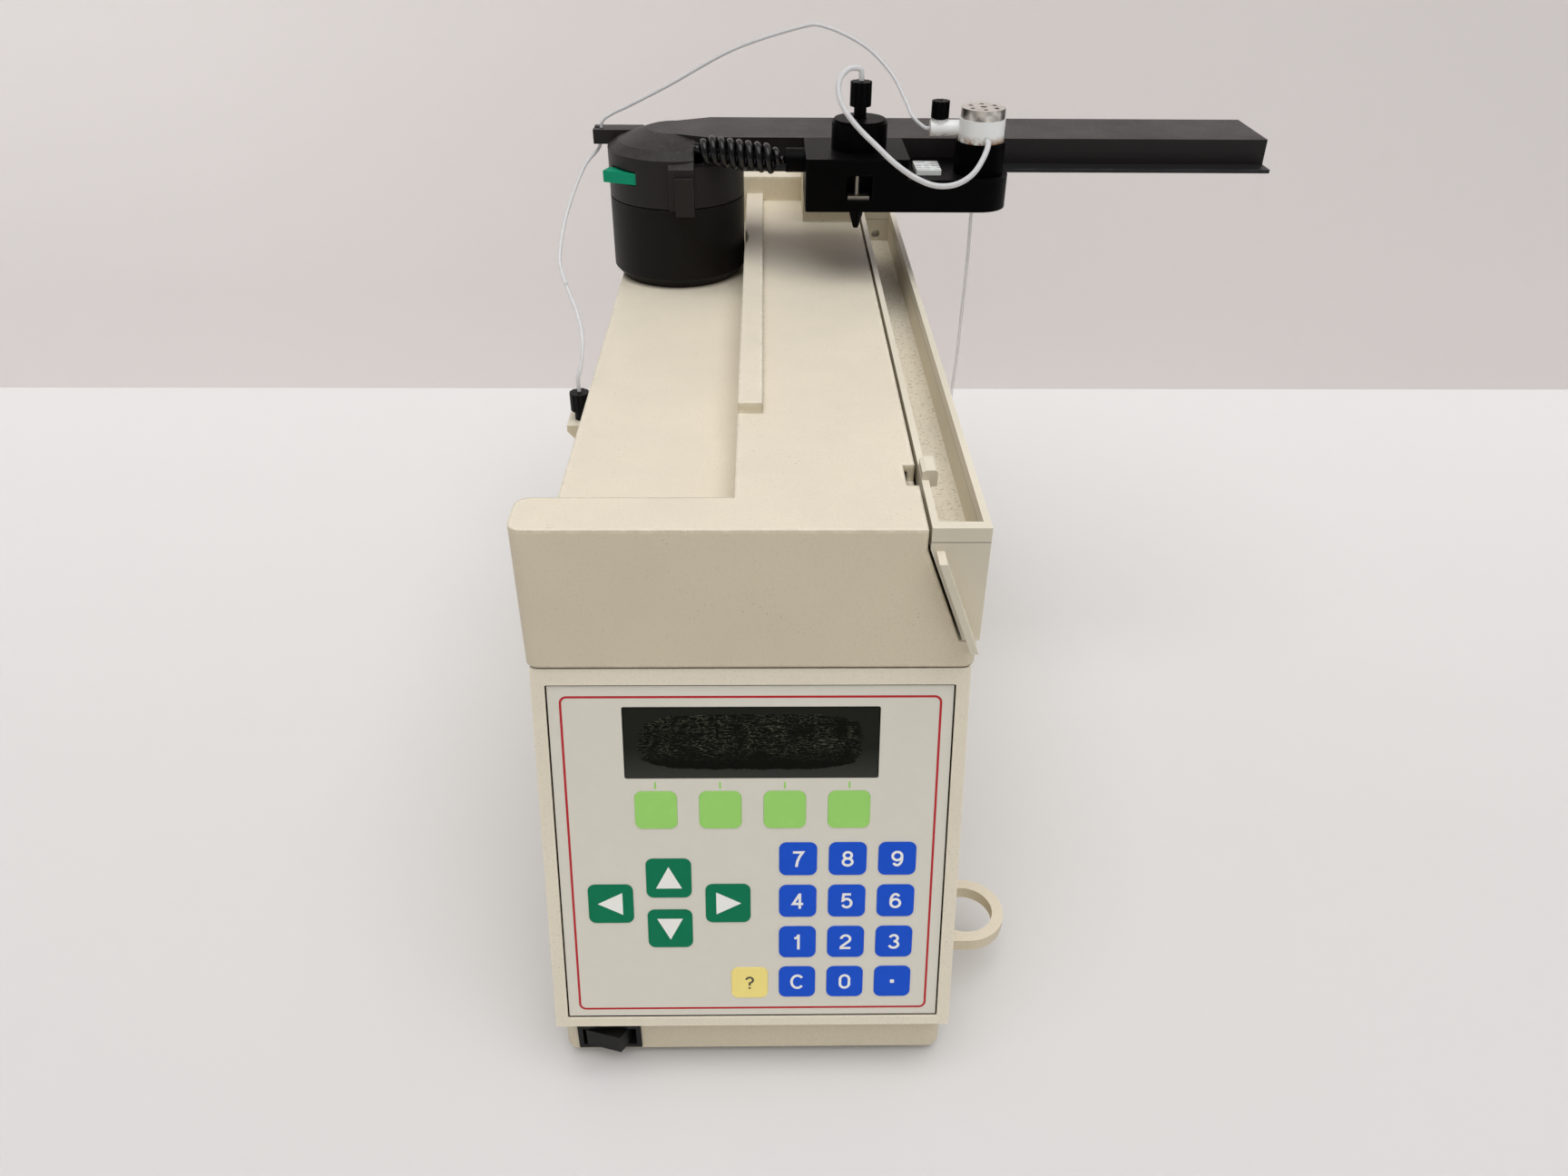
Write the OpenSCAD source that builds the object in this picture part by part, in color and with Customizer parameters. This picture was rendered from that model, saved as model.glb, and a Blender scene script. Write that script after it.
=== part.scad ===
// Fraction collector with a swinging arm. Millimetres, +Z up, +Y to the rear.
// The origin is on the bench, under the middle of the front rubber foot.

/* [Body] */
// Overall width across the nose and the drain trough
body_w = 149; // [144:1:160]
// Width of the lower housing
housing_w = 146; // [142:1:149]
// Height of the rubber feet
foot_h = 5.5; // [3:0.5:10]
// Height of the base pan
pan_h = 22; // [20:1:26]
// Height of the lower housing
housing_h = 141; // [140:1:150]
// Height of the top cover, from its lower edge to the raised deck
cover_h = 52.5; // [50:0.5:60]
// Step from the raised deck down to the left deck
deck_step = 12; // [8:0.5:14]
// Front of the nose
nose_y = 12.5; // [12.5:0.5:13.5]
// Depth of the nose
nose_d = 20.5; // [18:0.5:26]
// Rear of the body
body_rear = 408; // [404:1:430]
// Wall of the moulded shells
wall = 2.5; // [2:0.1:3]
// Radius of the upright corners
corner_r = 5; // [3:0.5:7]

/* [Deck] */
// Left edge of the deck, from the middle of the body
deck_left = 65.5; // [63:0.5:68]
// Left wall of the raised deck, left of the middle of the body
raise_left = 5; // [4:0.5:6]
// Right edge of the raised deck, right of the middle of the body
deck_right = 55; // [53:0.5:56]
// Width of the ridge bar
ridge_w = 9; // [7:0.5:10]
// Height of the ridge bar
ridge_h = 4; // [2:0.5:6]
// Front end of the ridge bar
ridge_y = 95; // [80:1:120]
// Front of the rear riser
riser_y = 367; // [364:1:374]
// Height of the rear riser over the raised deck
riser_h = 13; // [8:1:18]
// Front of the rear block
block_y = 328; // [326:1:336]
// Height of the rear block over the raised deck
block_h = 27; // [20:1:27]

/* [Panel] */
// Width of the key panel
panel_w = 136.4; // [134:0.2:138]
// Height of the key panel, along its slope
panel_h = 135; // [133:0.2:136]
// Lean of the panel from upright, in degrees
panel_lean = 13.7; // [12:0.1:15]
// Top edge of the panel below the top of the lower housing
panel_drop = 6.2; // [5.8:0.2:7]
// How far the panel lies below its border
panel_recess = 0.8; // [0.4:0.1:1.2]
// Thickness of the overlay sheet
overlay_t = 0.8; // [0.6:0.1:1]
// Side of a number key
key_w = 13.3; // [12:0.1:13.8]
// Side of a soft key
soft_w = 14.6; // [13:0.1:16]
// Side of an arrow key
arrow_w = 16; // [14:0.1:16.4]
// Spacing of the number keys
key_pitch = 17.5; // [17:0.1:18]
// Gap between a key and the overlay
key_gap = 0.4; // [0.3:0.05:0.5]
// Travel of a key
key_travel = 0.4; // [0.3:0.05:0.45]
// Width of the display window
lcd_w = 87.2; // [80:0.2:90]
// Height of the display window
lcd_h = 27.5; // [24:0.2:28]

/* [Trough] */
// Gap between the deck and the trough
trough_gap = 1; // [0.6:0.1:1.5]
// Rear end of the trough
trough_rear = 350; // [330:1:356]
// Depth of the channel in the trough
trough_depth = 16.5; // [12:0.5:18]
// Radius of the drain spigot
spigot_r = 3.5; // [3:0.1:4]
// Radius of the bore in the drain spigot
spigot_bore = 2.2; // [1.5:0.1:2.5]

/* [Ring] */
// Outer radius of the side ring
ring_r = 16; // [15.5:0.5:20]
// Radius of the hole in the side ring
ring_hole = 11.5; // [9:0.5:12]
// Height of the side ring
ring_h = 5.5; // [5:0.5:10]
// Middle of the side ring, from the front of the origin
ring_y = 33; // [30:1:60]
// Underside of the ring over the bench
ring_z = 22; // [20:1:23]

/* [Pedestal] */
// Radius of the pedestal and of the arm's head
drum_r = 32.3; // [31:0.1:33]
// Left of the middle of the body to the swing axis
axis_left = 37.5; // [37:0.5:38]
// Swing axis behind the origin
axis_y = 289; // [288:0.5:290]
// Height of the pedestal over the left deck
drum_h = 38; // [36:0.5:40]
// Radius of the spindle
spindle_r = 12; // [10:0.5:12.5]
// Running clearance of the spindle and other shafts, on the radius
run_fit = 0.05; // [0.02:0.01:0.08]
// Teeth of the swing gear
gear_teeth = 72; // [68:1:76]
// Teeth of the motor pinion
pinion_teeth = 18; // [17:1:20]
// Size of the gear teeth
gear_module = 0.6; // [0.5:0.05:0.65]

/* [Arm] */
// Height of the arm cover
arm_h = 11; // [10.5:0.5:13]
// Depth of the arm, front to rear
arm_d = 41; // [40:0.5:43]
// Tip of the arm, from the swing axis
arm_reach = 275; // [265:1:290]
// Height of the head over its parting line
head_h = 29.5; // [29:0.5:31]
// How far the rail's flange stands out of the arm
flange_d = 10; // [8.5:0.5:10.5]
// Thickness of the rail plate
rail_t = 1.6; // [1.2:0.1:2]
// Radius of the lead screw
screw_r = 2.5; // [2:0.1:2.6]
// Gap from the pedestal up to the head
head_gap = 0.6; // [0.4:0.1:1]

/* [Carriage] */
// Width of the carriage's left block
car_w = 45; // [43:0.5:46]
// Left side of the carriage, from the swing axis
car_x = 60.3; // [60:0.1:62]
// Front of the carriage, in front of the arm
car_front = 39.5; // [38:0.5:41]
// Height of the left block
car_h = 22.5; // [21:0.5:23]
// Height of the right block
low_h = 14; // [13:0.5:15]
// Radius of the coil base on the right block
coil_r = 10.9; // [10:0.1:11.2]
// Height of the coil base
coil_h = 13.6; // [12:0.2:15]
// Radius of the drop-former knob
knob_r = 12.3; // [11:0.1:13]
// Height of the drop-former knob
knob_h = 12.5; // [10:0.5:14]
// Radius of a fitting nut
nut_r = 4.7; // [4:0.1:5]

/* [Tubes] */
// Diameter of the thin tubes
thin_d = 1.6; // [1.4:0.1:1.8]
// Diameter of the drop tube
thick_d = 2.4; // [2.2:0.1:3.2]
// Diameter of the curly cord's strand
strand_d = 3.2; // [2.2:0.1:3.2]
// Radius of the curls, to the middle of the strand
curl_r = 5; // [5:0.1:5.6]
// Number of curls
curls = 9; // [7:1:9]

/* [Hidden] */
$fn = 48;
seat = 0.3;              // gap at rest between pieces that move apart
pan_top = foot_h + pan_h;
housing_rear = body_rear - 8;
housing_top = pan_top + housing_h;
cover_z = housing_top + 1;
deck_z = cover_z + cover_h;
left_z = deck_z - deck_step;
skirt_z = cover_z + 10.5;
nose_rear = nose_y + nose_d;
half_w = body_w / 2;
half_h = housing_w / 2;
ridge_left = -raise_left;
block_left = 25;
top_z = deck_z + ridge_h;

// the sloping panel: its top edge, and the y of the slope at a height
panel_top_z = housing_top - panel_drop;
panel_top_y = nose_y - 0.2;
function slope_y(z) = panel_top_y + (z - panel_top_z) * tan(panel_lean);
border_out = panel_recess / cos(panel_lean);

// the arm's levels
axis = [-axis_left, axis_y];
drum_top = left_z + drum_h;
head_z = drum_top + head_gap;
arm_top = head_z + head_h;
arm_z = arm_top - arm_h;
rail_z = arm_z - rail_t;
arm_front = axis_y - arm_d / 2 + 0.5;
arm_rear = arm_front + arm_d;
arm_tip = arm_reach - axis_left;
flange_y = arm_front - flange_d;
screw_y = axis_y - 1;
screw_z = arm_z + 1;

// the carriage's levels
car_left = car_x - axis_left;
car_right = car_left + car_w;
car_y = arm_front - car_front;
car_top = arm_top;
car_z = car_top - car_h;
low_top = car_z + low_h;
knob_x = car_left + car_w / 2 + 1.6;
knob_y = car_y + 21.5;
valve_x = car_right + 32.1;
valve_y = car_y + 14;
end_r = coil_r + 2.1;
body_r = coil_r - 0.9;
body_h = 9.5;
cap_r = coil_r - 1.3;
cap_h = 4.4;
coil_top = low_top + coil_h;
body_top = coil_top + body_h;
cap_top = body_top + cap_h;
knob_top = car_top + knob_h;
nut_z = knob_top + 5.2;
nut_h = 10;
nut_top = nut_z + nut_h;
port_r = 3.4;
port = [valve_x - 18.4, valve_y + 2.5, coil_top + 4.6];
port_top = port[2] + 3.8;
port_end = port - [4, 0, 0];
valve_exit = [valve_x + 1, valve_y - body_r, coil_top + 2];
tip_len = 6;
tip_z = car_z - 7 - tip_len;

// the tube bracket on the left side
bracket_y = 143;
bracket_z = left_z - 13;
bracket_x = -deck_left - 4.3;
bracket_t = 2.6;
bracket_r = 4;
neck_h = 4;
fitting_h = neck_h + 7.5;
fitting_top = bracket_z + fitting_h;

// the head's cord side
boss_w = 11.5;
boss_right = axis[0] + 10;
boss_y = axis_y - drum_r - 4;
boot_r = 5.2;
boot_len = 8.5;
cord_gap = 1;
curl_out = curl_r + strand_d / 2;
cord_start = [boss_right, arm_front - cord_gap - curl_out, arm_z + cord_gap + curl_out];
cord_end = [car_left - boot_len, cord_start[1] - 10, cord_start[2] - 2.2];
hook_c = [axis[0] - drum_r - 4, axis_y + 11.5, arm_top - 2.8];

// the power switch
switch_w = 24;
switch_x = -housing_w / 2 + 18.2;
switch_h = 13;
switch_z = foot_h + 1.3 + switch_h / 2;
pan_y = -15;
pan_rear = housing_rear;
rocker_y = pan_y + 2.6;

// hand-chosen points of the tubes
tube_seat = 0.25;        // gap from a tube's end to the fitting that it enters
inlet_pts = [
    [bracket_x, bracket_y, fitting_top + tube_seat], [bracket_x, bracket_y, fitting_top + 6],
    [-68.5, 145, 219], [-68, 152, 228], [-72, 168, 233], [-79, 190, 236.5], [-84.5, 212, 239.5],
    [-86, 240, 246], [-84.5, 265, 253.5], [-81, 288, 261], hook_c + [-2.2, -0.3, -10], hook_c + [0, 0, -4],
    hook_c + [0.6, 0, 2.5], [-68, 301, 281.5], [-60, 301, 285], [-40, 298, 295], [-10, 294, 311], [20, 290, 321],
    [32, 288, 322], [50, 282, 315], [62, 274, 305], [68, 262, 295.5], [70.5, 252, 291],
    port_end - [2.5, 0, -0.2], port_end - [tube_seat, 0, 0]];
drop_pts = [
    valve_exit, valve_exit - [0, 4, 1], [98.5, 225.5, 279.5], [94, 222, 274], [87, 220.5, 270.2],
    [78.5, 221, 269.5], [70, 223.5, 272], [61, 226.2, 277.3], [53, 231, 283.5], [45.5, 236.2, 289.5],
    [39.5, 240.5, 296], [36.8, 244, 302], [37.5, 247.5, 307.5], [41.5, 250, 311],
    [knob_x - 0.8, knob_y, nut_top + 5], [knob_x, knob_y, nut_top + 2.5],
    [knob_x, knob_y, nut_top + tube_seat]];
waste_pts = [
    [valve_x, valve_y + 6, car_z], [valve_x, valve_y + 6, car_z - 8], [101, 254, 225], [101, 256, 200],
    [101, 258, 175], [100, 259, 150], [100, 259, 125], [101, 258, 100], [102, 257, 80]];

// places on the panel, on a drawn size; they spread with the panel
drawn = [136.4, 135];
spread = [panel_w / drawn[0], panel_h / drawn[1]];
soft_x = [35.1, 57.4, 79.7, 102] * spread[0];
soft_y = 47.5 * spread[1];
pad_x = 102 * spread[0];
pad_y = 67.4 * spread[1];
pad_dx = key_pitch * spread[0];
pad_dy = key_pitch * spread[1];
arrow_c = [38.7 * spread[0], 85.7 * spread[1]];
arrow_dx = 20.9 * spread[0];
arrow_dy = 10.6 * spread[1];
help_c = [67.1 * spread[0], 120.2 * spread[1]];
lcd_c = [68.3 * spread[0], 21.8 * spread[1]];
board_gap = 1;

KEYS = [
    ["soft_key_1", soft_x[0], soft_y, soft_w], ["soft_key_2", soft_x[1], soft_y, soft_w],
    ["soft_key_3", soft_x[2], soft_y, soft_w], ["soft_key_4", soft_x[3], soft_y, soft_w],
    ["arrow_key_up", arrow_c[0], arrow_c[1] - arrow_dy, arrow_w],
    ["arrow_key_down", arrow_c[0], arrow_c[1] + arrow_dy, arrow_w],
    ["arrow_key_left", arrow_c[0] - arrow_dx, arrow_c[1], arrow_w],
    ["arrow_key_right", arrow_c[0] + arrow_dx, arrow_c[1], arrow_w],
    ["number_key_7", pad_x - pad_dx, pad_y, key_w], ["number_key_8", pad_x, pad_y, key_w],
    ["number_key_9", pad_x + pad_dx, pad_y, key_w],
    ["number_key_4", pad_x - pad_dx, pad_y + pad_dy, key_w],
    ["number_key_5", pad_x, pad_y + pad_dy, key_w],
    ["number_key_6", pad_x + pad_dx, pad_y + pad_dy, key_w],
    ["number_key_1", pad_x - pad_dx, pad_y + 2 * pad_dy, key_w],
    ["number_key_2", pad_x, pad_y + 2 * pad_dy, key_w],
    ["number_key_3", pad_x + pad_dx, pad_y + 2 * pad_dy, key_w],
    ["clear_key", pad_x - pad_dx, pad_y + 3 * pad_dy, key_w],
    ["number_key_0", pad_x, pad_y + 3 * pad_dy, key_w],
    ["point_key", pad_x + pad_dx, pad_y + 3 * pad_dy, key_w],
    ["help_key", help_c[0], help_c[1], key_w]];

cream = "#d6cdb4";
black = "#222222";
pale = "#e8e8e4";

// ---- shared shapes ----

// a box between two corners
module block(a, b) {
    translate(a) cube(b - a);
}

// a flat rectangle with round corners, from its corner
module round_rect(w, d, r) {
    translate([r, 0]) square([w - 2 * r, d]);
    translate([0, r]) square([w, d - 2 * r]);
    for (x = [r, w - r], y = [r, d - r]) translate([x, y]) circle(r);
}

// a box between two corners with round upright edges
module round_block(a, b, r) {
    translate(a) linear_extrude(b[2] - a[2]) round_rect(b[0] - a[0], b[1] - a[1], r);
}

// a profile drawn in y and z, extruded along x
module along_x(x0, x1) {
    translate([x0, 0, 0]) rotate([90, 0, 90]) linear_extrude(x1 - x0) children();
}

// a profile drawn in x and z, extruded along y
module along_y(y0, y1) {
    translate([0, y1, 0]) rotate([90, 0, 0]) linear_extrude(y1 - y0) children();
}

// an upright cylinder or bore
module post(x, y, z0, z1, r) {
    translate([x, y, z0]) cylinder(h = z1 - z0, r = r);
}

// things on the panel: x to the right and y down from its top left corner, z out of it
module on_panel(x, y) {
    translate([-panel_w / 2, panel_top_y, panel_top_z])
        rotate([90 - panel_lean, 0, 0])
            translate([x, -y, 0]) children();
}

// a plate on the panel, from depth z0 to z1, centred on a place
module panel_plate(x, y, w, h, r, z0, z1) {
    on_panel(x - w / 2, y + h / 2) translate([0, 0, z0]) linear_extrude(z1 - z0) round_rect(w, h, r);
}

function unit(v) = v / norm(v);

// a smooth line through points, with a number of steps between each two
function spline(p, steps) = [
    for (i = [0:len(p) - 2], j = [0:steps - 1])
        let (t = j / steps,
             a = p[max(i - 1, 0)], b = p[i], c = p[i + 1], d = p[min(i + 2, len(p) - 1)])
        0.5 * ((2 * b) + (c - a) * t + (2 * a - 5 * b + 4 * c - d) * t * t
            + (3 * b - a - 3 * c + d) * t * t * t),
    p[len(p) - 1]];

function line_length(p, i = 0) = i >= len(p) - 1 ? 0 : norm(p[i + 1] - p[i]) + line_length(p, i + 1);

// the direction of a line at one of its points
function heading(p, i) = unit(p[min(i + 1, len(p) - 1)] - p[max(i - 1, 0)]);

// the faces of a tube of rings with a number of sides
function tube_faces(rings, sides) = concat(
    [[for (s = [sides - 1:-1:0]) s]],
    [for (i = [0:rings - 2], s = [0:sides - 1])
        let (a = i * sides + s, b = i * sides + (s + 1) % sides)
        each [[a, b, b + sides], [a, b + sides, a + sides]]],
    [[for (s = [0:sides - 1]) (rings - 1) * sides + s]]);

// a tube along a line; side is a direction that the line never takes
module tube(p, d, sides, side) {
    pts = [for (i = [0:len(p) - 1])
        let (t = heading(p, i), u = unit(cross(side, t)), v = cross(t, u))
        for (s = [0:sides - 1])
            p[i] + d / 2 * (cos(360 * s / sides) * u + sin(360 * s / sides) * v)];
    polyhedron(pts, tube_faces(len(p), sides), convexity = 6);
}

// the outline of an involute gear
function inv(a) = tan(a) * 180 / PI - a;
function gear_angle(rb, r) = r <= rb ? 0 : acos(rb / r);
module gear_outline(teeth, shift) {
    rp = gear_module * teeth / 2;
    rb = rp * cos(20);
    tip = rp + 0.9 * gear_module;
    root = rp - 1.2 * gear_module;
    thick = 90 / teeth - 0.05 / rp * 180 / PI;
    radii = [root, max(rb, root), rp - 0.35 * gear_module, rp, rp + 0.45 * gear_module, tip];
    flank = [for (r = radii) [r, thick + inv(20) - inv(gear_angle(rb, r))]];
    polygon([for (t = [0:teeth - 1]) each concat(
        [for (i = [0:len(flank) - 1])
            flank[i][0] * [cos(t * 360 / teeth + shift - flank[i][1]), sin(t * 360 / teeth + shift - flank[i][1])]],
        [for (i = [len(flank) - 1:-1:0])
            flank[i][0] * [cos(t * 360 / teeth + shift + flank[i][1]), sin(t * 360 / teeth + shift + flank[i][1])]])]);
}

// ---- base and housing ----

pan_half = half_h - 1;
foot_x = pan_half - 13;
foot_y = [0, 370];
foot_d = 12;

module rubber_feet() {
    color("#1a1a1a") for (y = foot_y) round_block([-foot_x, y - foot_d / 2, 0], [foot_x, y + foot_d / 2, foot_h], 3);
}

screw_x = pan_half - wall - 8;
screw_spots = [for (x = [-screw_x, screw_x], y = [20, 350]) [x, y]];

module base_pan() {
    color(cream) difference() {
        round_block([-pan_half, pan_y, foot_h], [pan_half, pan_rear, pan_top], corner_r);
        round_block([-pan_half + wall, pan_y + wall, foot_h + wall],
            [pan_half - wall, pan_rear - wall, pan_top + 1], corner_r - wall / 2);
        block([switch_x - switch_w / 2 + 1, pan_y - 1, switch_z - switch_h / 2 + 1],
            [switch_x + switch_w / 2 - 1, pan_y + wall + 1, switch_z + switch_h / 2 - 1]);
        for (p = screw_spots) post(p[0], p[1], foot_h - 1, foot_h + wall + 1, 1.7);
    }
    color(cream) for (p = screw_spots) difference() {
        post(p[0], p[1], foot_h + wall, pan_top, 4.5);
        post(p[0], p[1], foot_h, pan_top + 1, 1.7);
    }
}

module case_screws() {
    color("silver") for (p = screw_spots) {
        post(p[0], p[1], foot_h - 1.6, foot_h, 3);
        post(p[0], p[1], foot_h, pan_top - 2, 1.65);
    }
}

// the outline of the lower housing seen from the side, drawn inwards by a wall
module housing_side(inset) {
    lean = inset / cos(panel_lean);
    polygon([
        [slope_y(pan_top) - border_out + lean, pan_top - (inset > 0 ? 1 : 0)],
        [slope_y(housing_top) - border_out + lean, housing_top + (inset > 0 ? 1 : 0)],
        [housing_rear - inset, housing_top + (inset > 0 ? 1 : 0)],
        [housing_rear - inset, pan_top - (inset > 0 ? 1 : 0)]]);
}

inlet_w = 28;
inlet_h = 21;
inlet_c = [-30, 62];

module lower_housing() {
    color(cream) difference() {
        along_x(-half_h, half_h) housing_side(0);
        difference() {
            along_x(-half_h + wall, half_h - wall) housing_side(5);
            block([-half_h, -40, 0], [half_h, nose_y + 25, pan_top + 1.5]);
        }
        // the opening for the panel
        panel_plate(panel_w / 2, panel_h / 2, panel_w + 0.6, panel_h + 0.6, 0.6, -overlay_t, 20);
        panel_plate(panel_w / 2, panel_h / 2, panel_w - 5, panel_h - 5, 1, -20, 20);
        // the opening for the power inlet
        block([inlet_c[0] - inlet_w / 2, housing_rear - 6, inlet_c[1] - inlet_h / 2],
            [inlet_c[0] + inlet_w / 2, housing_rear + 1, inlet_c[1] + inlet_h / 2]);
    }
}

module side_ring() {
    ring_x = half_w + ring_hole + 0.5;
    color(cream) difference() {
        union() {
            post(ring_x, ring_y, ring_z, ring_z + ring_h, ring_r);
            block([half_h, ring_y - ring_r, ring_z], [ring_x, ring_y + ring_r, ring_z + ring_h]);
        }
        post(ring_x, ring_y, ring_z - 1, ring_z + ring_h + 1, ring_hole);
        block([0, ring_y - 40, ring_z - 1], [half_h, ring_y + 40, ring_z + ring_h + 1]);
    }
}

// ---- panel ----

key_corner = 2.6;        // corner radius of a key

module keypad_overlay() {
    color("#d8d6cf") difference() {
        panel_plate(panel_w / 2, panel_h / 2, panel_w, panel_h, 0.6, -overlay_t, 0);
        panel_plate(lcd_c[0], lcd_c[1], lcd_w, lcd_h, 0.8, -2, 1);
        for (k = KEYS)
            panel_plate(k[1], k[2], k[3] + 2 * key_gap, k[3] + 2 * key_gap, key_corner + key_gap, -2, 1);
    }
}

module panel_key(k) {
    panel_plate(k[1], k[2], k[3], k[3], key_corner, board_z + key_travel + 0.15, 0.25);
}

board_z = -overlay_t - board_gap - key_travel - 0.05;

module display_module() {
    color("#101510") panel_plate(lcd_c[0], lcd_c[1], lcd_w - 0.6, lcd_h - 0.6, 0.6, -3, -0.5);
    color("#101510") panel_plate(lcd_c[0], lcd_c[1], lcd_w + 8, lcd_h + 6, 1, -9, -3);
}

rim = 3;
main_board = [50, 60, pan_top + 16];
main_size = [1.6, 170, 100];
chip = [5, 22, 8];

module circuit_boards() {
    color("#1f5c33") difference() {
        panel_plate(panel_w / 2, panel_h / 2 + 1, panel_w - 7, panel_h - 9, 1, board_z - 1.6, -overlay_t);
        panel_plate(panel_w / 2, panel_h / 2 + 1, panel_w - 7 - 2 * rim, panel_h - 9 - 2 * rim, 1, board_z, 1);
        panel_plate(lcd_c[0], lcd_c[1], lcd_w + 9, lcd_h + 7, 1, -20, 2);
    }
    color("#1f5c33") translate(main_board) cube(main_size);
    color(black) for (y = [20:34:140], z = [20, 66]) translate(main_board + [-chip[0], y, z]) cube(chip);
    color("silver") for (y = [6, main_size[1] - 6], z = [6, main_size[2] - 6])
        translate(main_board + [main_size[0], y, z]) rotate([0, 90, 0])
            cylinder(h = half_h - wall - main_board[0] - main_size[0], r = 2.5);
}

core = [50, 50, 44];
core_at = [-45, 290, foot_h + wall];
coil = [36, 62, 28];

module transformer() {
    color("#4a4a4a") translate(core_at) cube(core);
    color("#b87333") translate(core_at + (core - coil) / 2) difference() {
        cube(coil);
        translate([-1, (coil[1] - core[1]) / 2, -1]) cube([coil[0] + 2, core[1], coil[2] + 2]);
    }
}

inlet_out = [inlet_w / 2 - 0.2, 22, inlet_h / 2 - 0.2];
inlet_wall = 2.3;

module power_inlet() {
    at = [inlet_c[0], housing_rear, inlet_c[1]];
    color(black) difference() {
        union() {
            block(at - inlet_out, at + [inlet_out[0], 0, inlet_out[2]]);
            block(at - [inlet_w / 2 + 8, 0, inlet_h / 2 + 2], at + [inlet_w / 2 + 8, 2, inlet_h / 2 + 2]);
        }
        block(at + [inlet_wall - inlet_out[0], -16, inlet_wall - inlet_out[2]],
            at + [inlet_out[0] - inlet_wall, 3, inlet_out[2] - inlet_wall]);
    }
    color("silver") for (x = [-7, 0, 7]) {
        block(at + [x - 1, -16, (x == 0 ? 0 : -4)], at + [x + 1, -3, (x == 0 ? 4 : 0)]);
    }
}

// ---- power switch ----

module switch_frame() {
    a = [switch_x - switch_w / 2, pan_y - 0.8, switch_z - switch_h / 2];
    b = [switch_x + switch_w / 2, pan_y, switch_z + switch_h / 2];
    color(black) difference() {
        union() {
            block(a, b);
            block(a + [1.2, 0, 1.2], [b[0] - 1.2, pan_y + 14, b[2] - 1.2]);
        }
        block(a + [1.9, -1, 1.9], [b[0] - 1.9, pan_y + 11, b[2] - 1.9]);
        post(switch_x, rocker_y, a[2] + 1.4, b[2] - 1.4, 0.9 + run_fit);
    }
}

module power_rocker() {
    half = switch_w / 2 - 3.2;
    pin = switch_h / 2 - 1.5;
    height = switch_h / 2 - 2.2;
    color(black) translate([switch_x, rocker_y, switch_z]) {
        translate([0, 0, -height]) linear_extrude(2 * height)
            polygon([[-half, 1.6], [-half, -3.4], [4.4, -7.2], [half - 0.5, -1.6], [half - 0.5, 1.6]]);
        translate([0, 0, -pin]) cylinder(h = 2 * pin, r = 0.9);
    }
}

// ---- top cover ----

// the right side of the nose, cut on a slant for the trough, in x and z
module trough_cut(gap) {
    polygon([
        [deck_right + gap, deck_z + 20], [deck_right + gap, deck_z - 7],
        [deck_right + 13 + gap, skirt_z + (gap > 0 ? seat : 0)],
        [half_w + 20, skirt_z + (gap > 0 ? seat : 0)], [half_w + 20, deck_z + 20]]);
}

module cover_outside() {
    // the inset lip that stands on the lower housing
    round_block([-half_h + 1, nose_y + 2, housing_top], [half_h - 1, housing_rear - 1, cover_z + 1], corner_r);
    round_block([-half_h, nose_y + 0.5, cover_z], [half_h, body_rear, skirt_z], corner_r);
    round_block([-half_w, nose_y, cover_z], [half_w, nose_rear, deck_z], corner_r);
    block([-deck_left, nose_y + corner_r, cover_z], [deck_right, body_rear, left_z]);
    block([-raise_left, nose_y + corner_r, left_z - 1], [deck_right, body_rear, deck_z]);
    block([ridge_left, ridge_y, deck_z - 1], [ridge_left + ridge_w, riser_y + 1, top_z]);
    block([-deck_left, riser_y, left_z - 1], [deck_right, body_rear, deck_z + riser_h]);
    block([block_left, block_y, deck_z - 1], [deck_right, body_rear, deck_z + block_h]);
}

module cover_inside() {
    round_block([-half_h + wall, nose_y + wall + 0.5, cover_z - 1],
        [half_h - wall, body_rear - wall, skirt_z - wall], corner_r - wall / 2);
    block([-half_w + wall, nose_y + wall, cover_z - 1], [deck_right - wall - 1, nose_rear - wall, deck_z - wall]);
    block([-deck_left + wall, nose_y + wall, cover_z - 1], [deck_right - wall, body_rear - wall, left_z - wall]);
    block([-raise_left + wall, nose_y + wall, left_z - wall - 1], [deck_right - wall, body_rear - wall, deck_z - wall]);
    block([-deck_left + wall, riser_y + wall, left_z - wall - 1],
        [deck_right - wall, body_rear - wall, deck_z + riser_h - wall]);
    block([block_left + wall, block_y + wall, deck_z - wall - 1], [deck_right - wall, body_rear - wall, deck_z + block_h - wall]);
}

pocket_r = drum_r + 2;
collar_r = 22;
clip_y = 43;
clip_d = 10;
notch_w = 4;

module top_cover() {
    color(cream) difference() {
        cover_outside();
        difference() {
            cover_inside();
            // the floor behind the lower housing
            block([-half_h, housing_rear - wall, cover_z - 2], [half_h, body_rear, cover_z + wall]);
            // the wall round the pocket that the pedestal stands in
            post(axis[0], axis[1], left_z - wall, deck_z + riser_h, pocket_r + wall);
        }
        post(axis[0], axis[1], left_z, deck_z + 50, pocket_r);
        post(axis[0], axis[1], cover_z - 1, left_z + 1, collar_r + 0.2);
        along_y(nose_y - 1, body_rear + 1) trough_cut(0);
        // the notch for the trough's clip
        block([deck_right - notch_w, clip_y - 2, deck_z - 6], [deck_right + 1, clip_y + 12, deck_z + 1]);
    }
}

// ---- drain trough ----

trough_x = deck_right + trough_gap;
floor_z = deck_z + 0.8 - trough_depth;
rib_w = 2.5;
rib_out = 8;

module trough_outline() {
    intersection() {
        translate([trough_x - 5, skirt_z]) square([half_w - trough_x + 5, deck_z + 0.8 - skirt_z]);
        trough_cut(trough_gap);
    }
}

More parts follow.
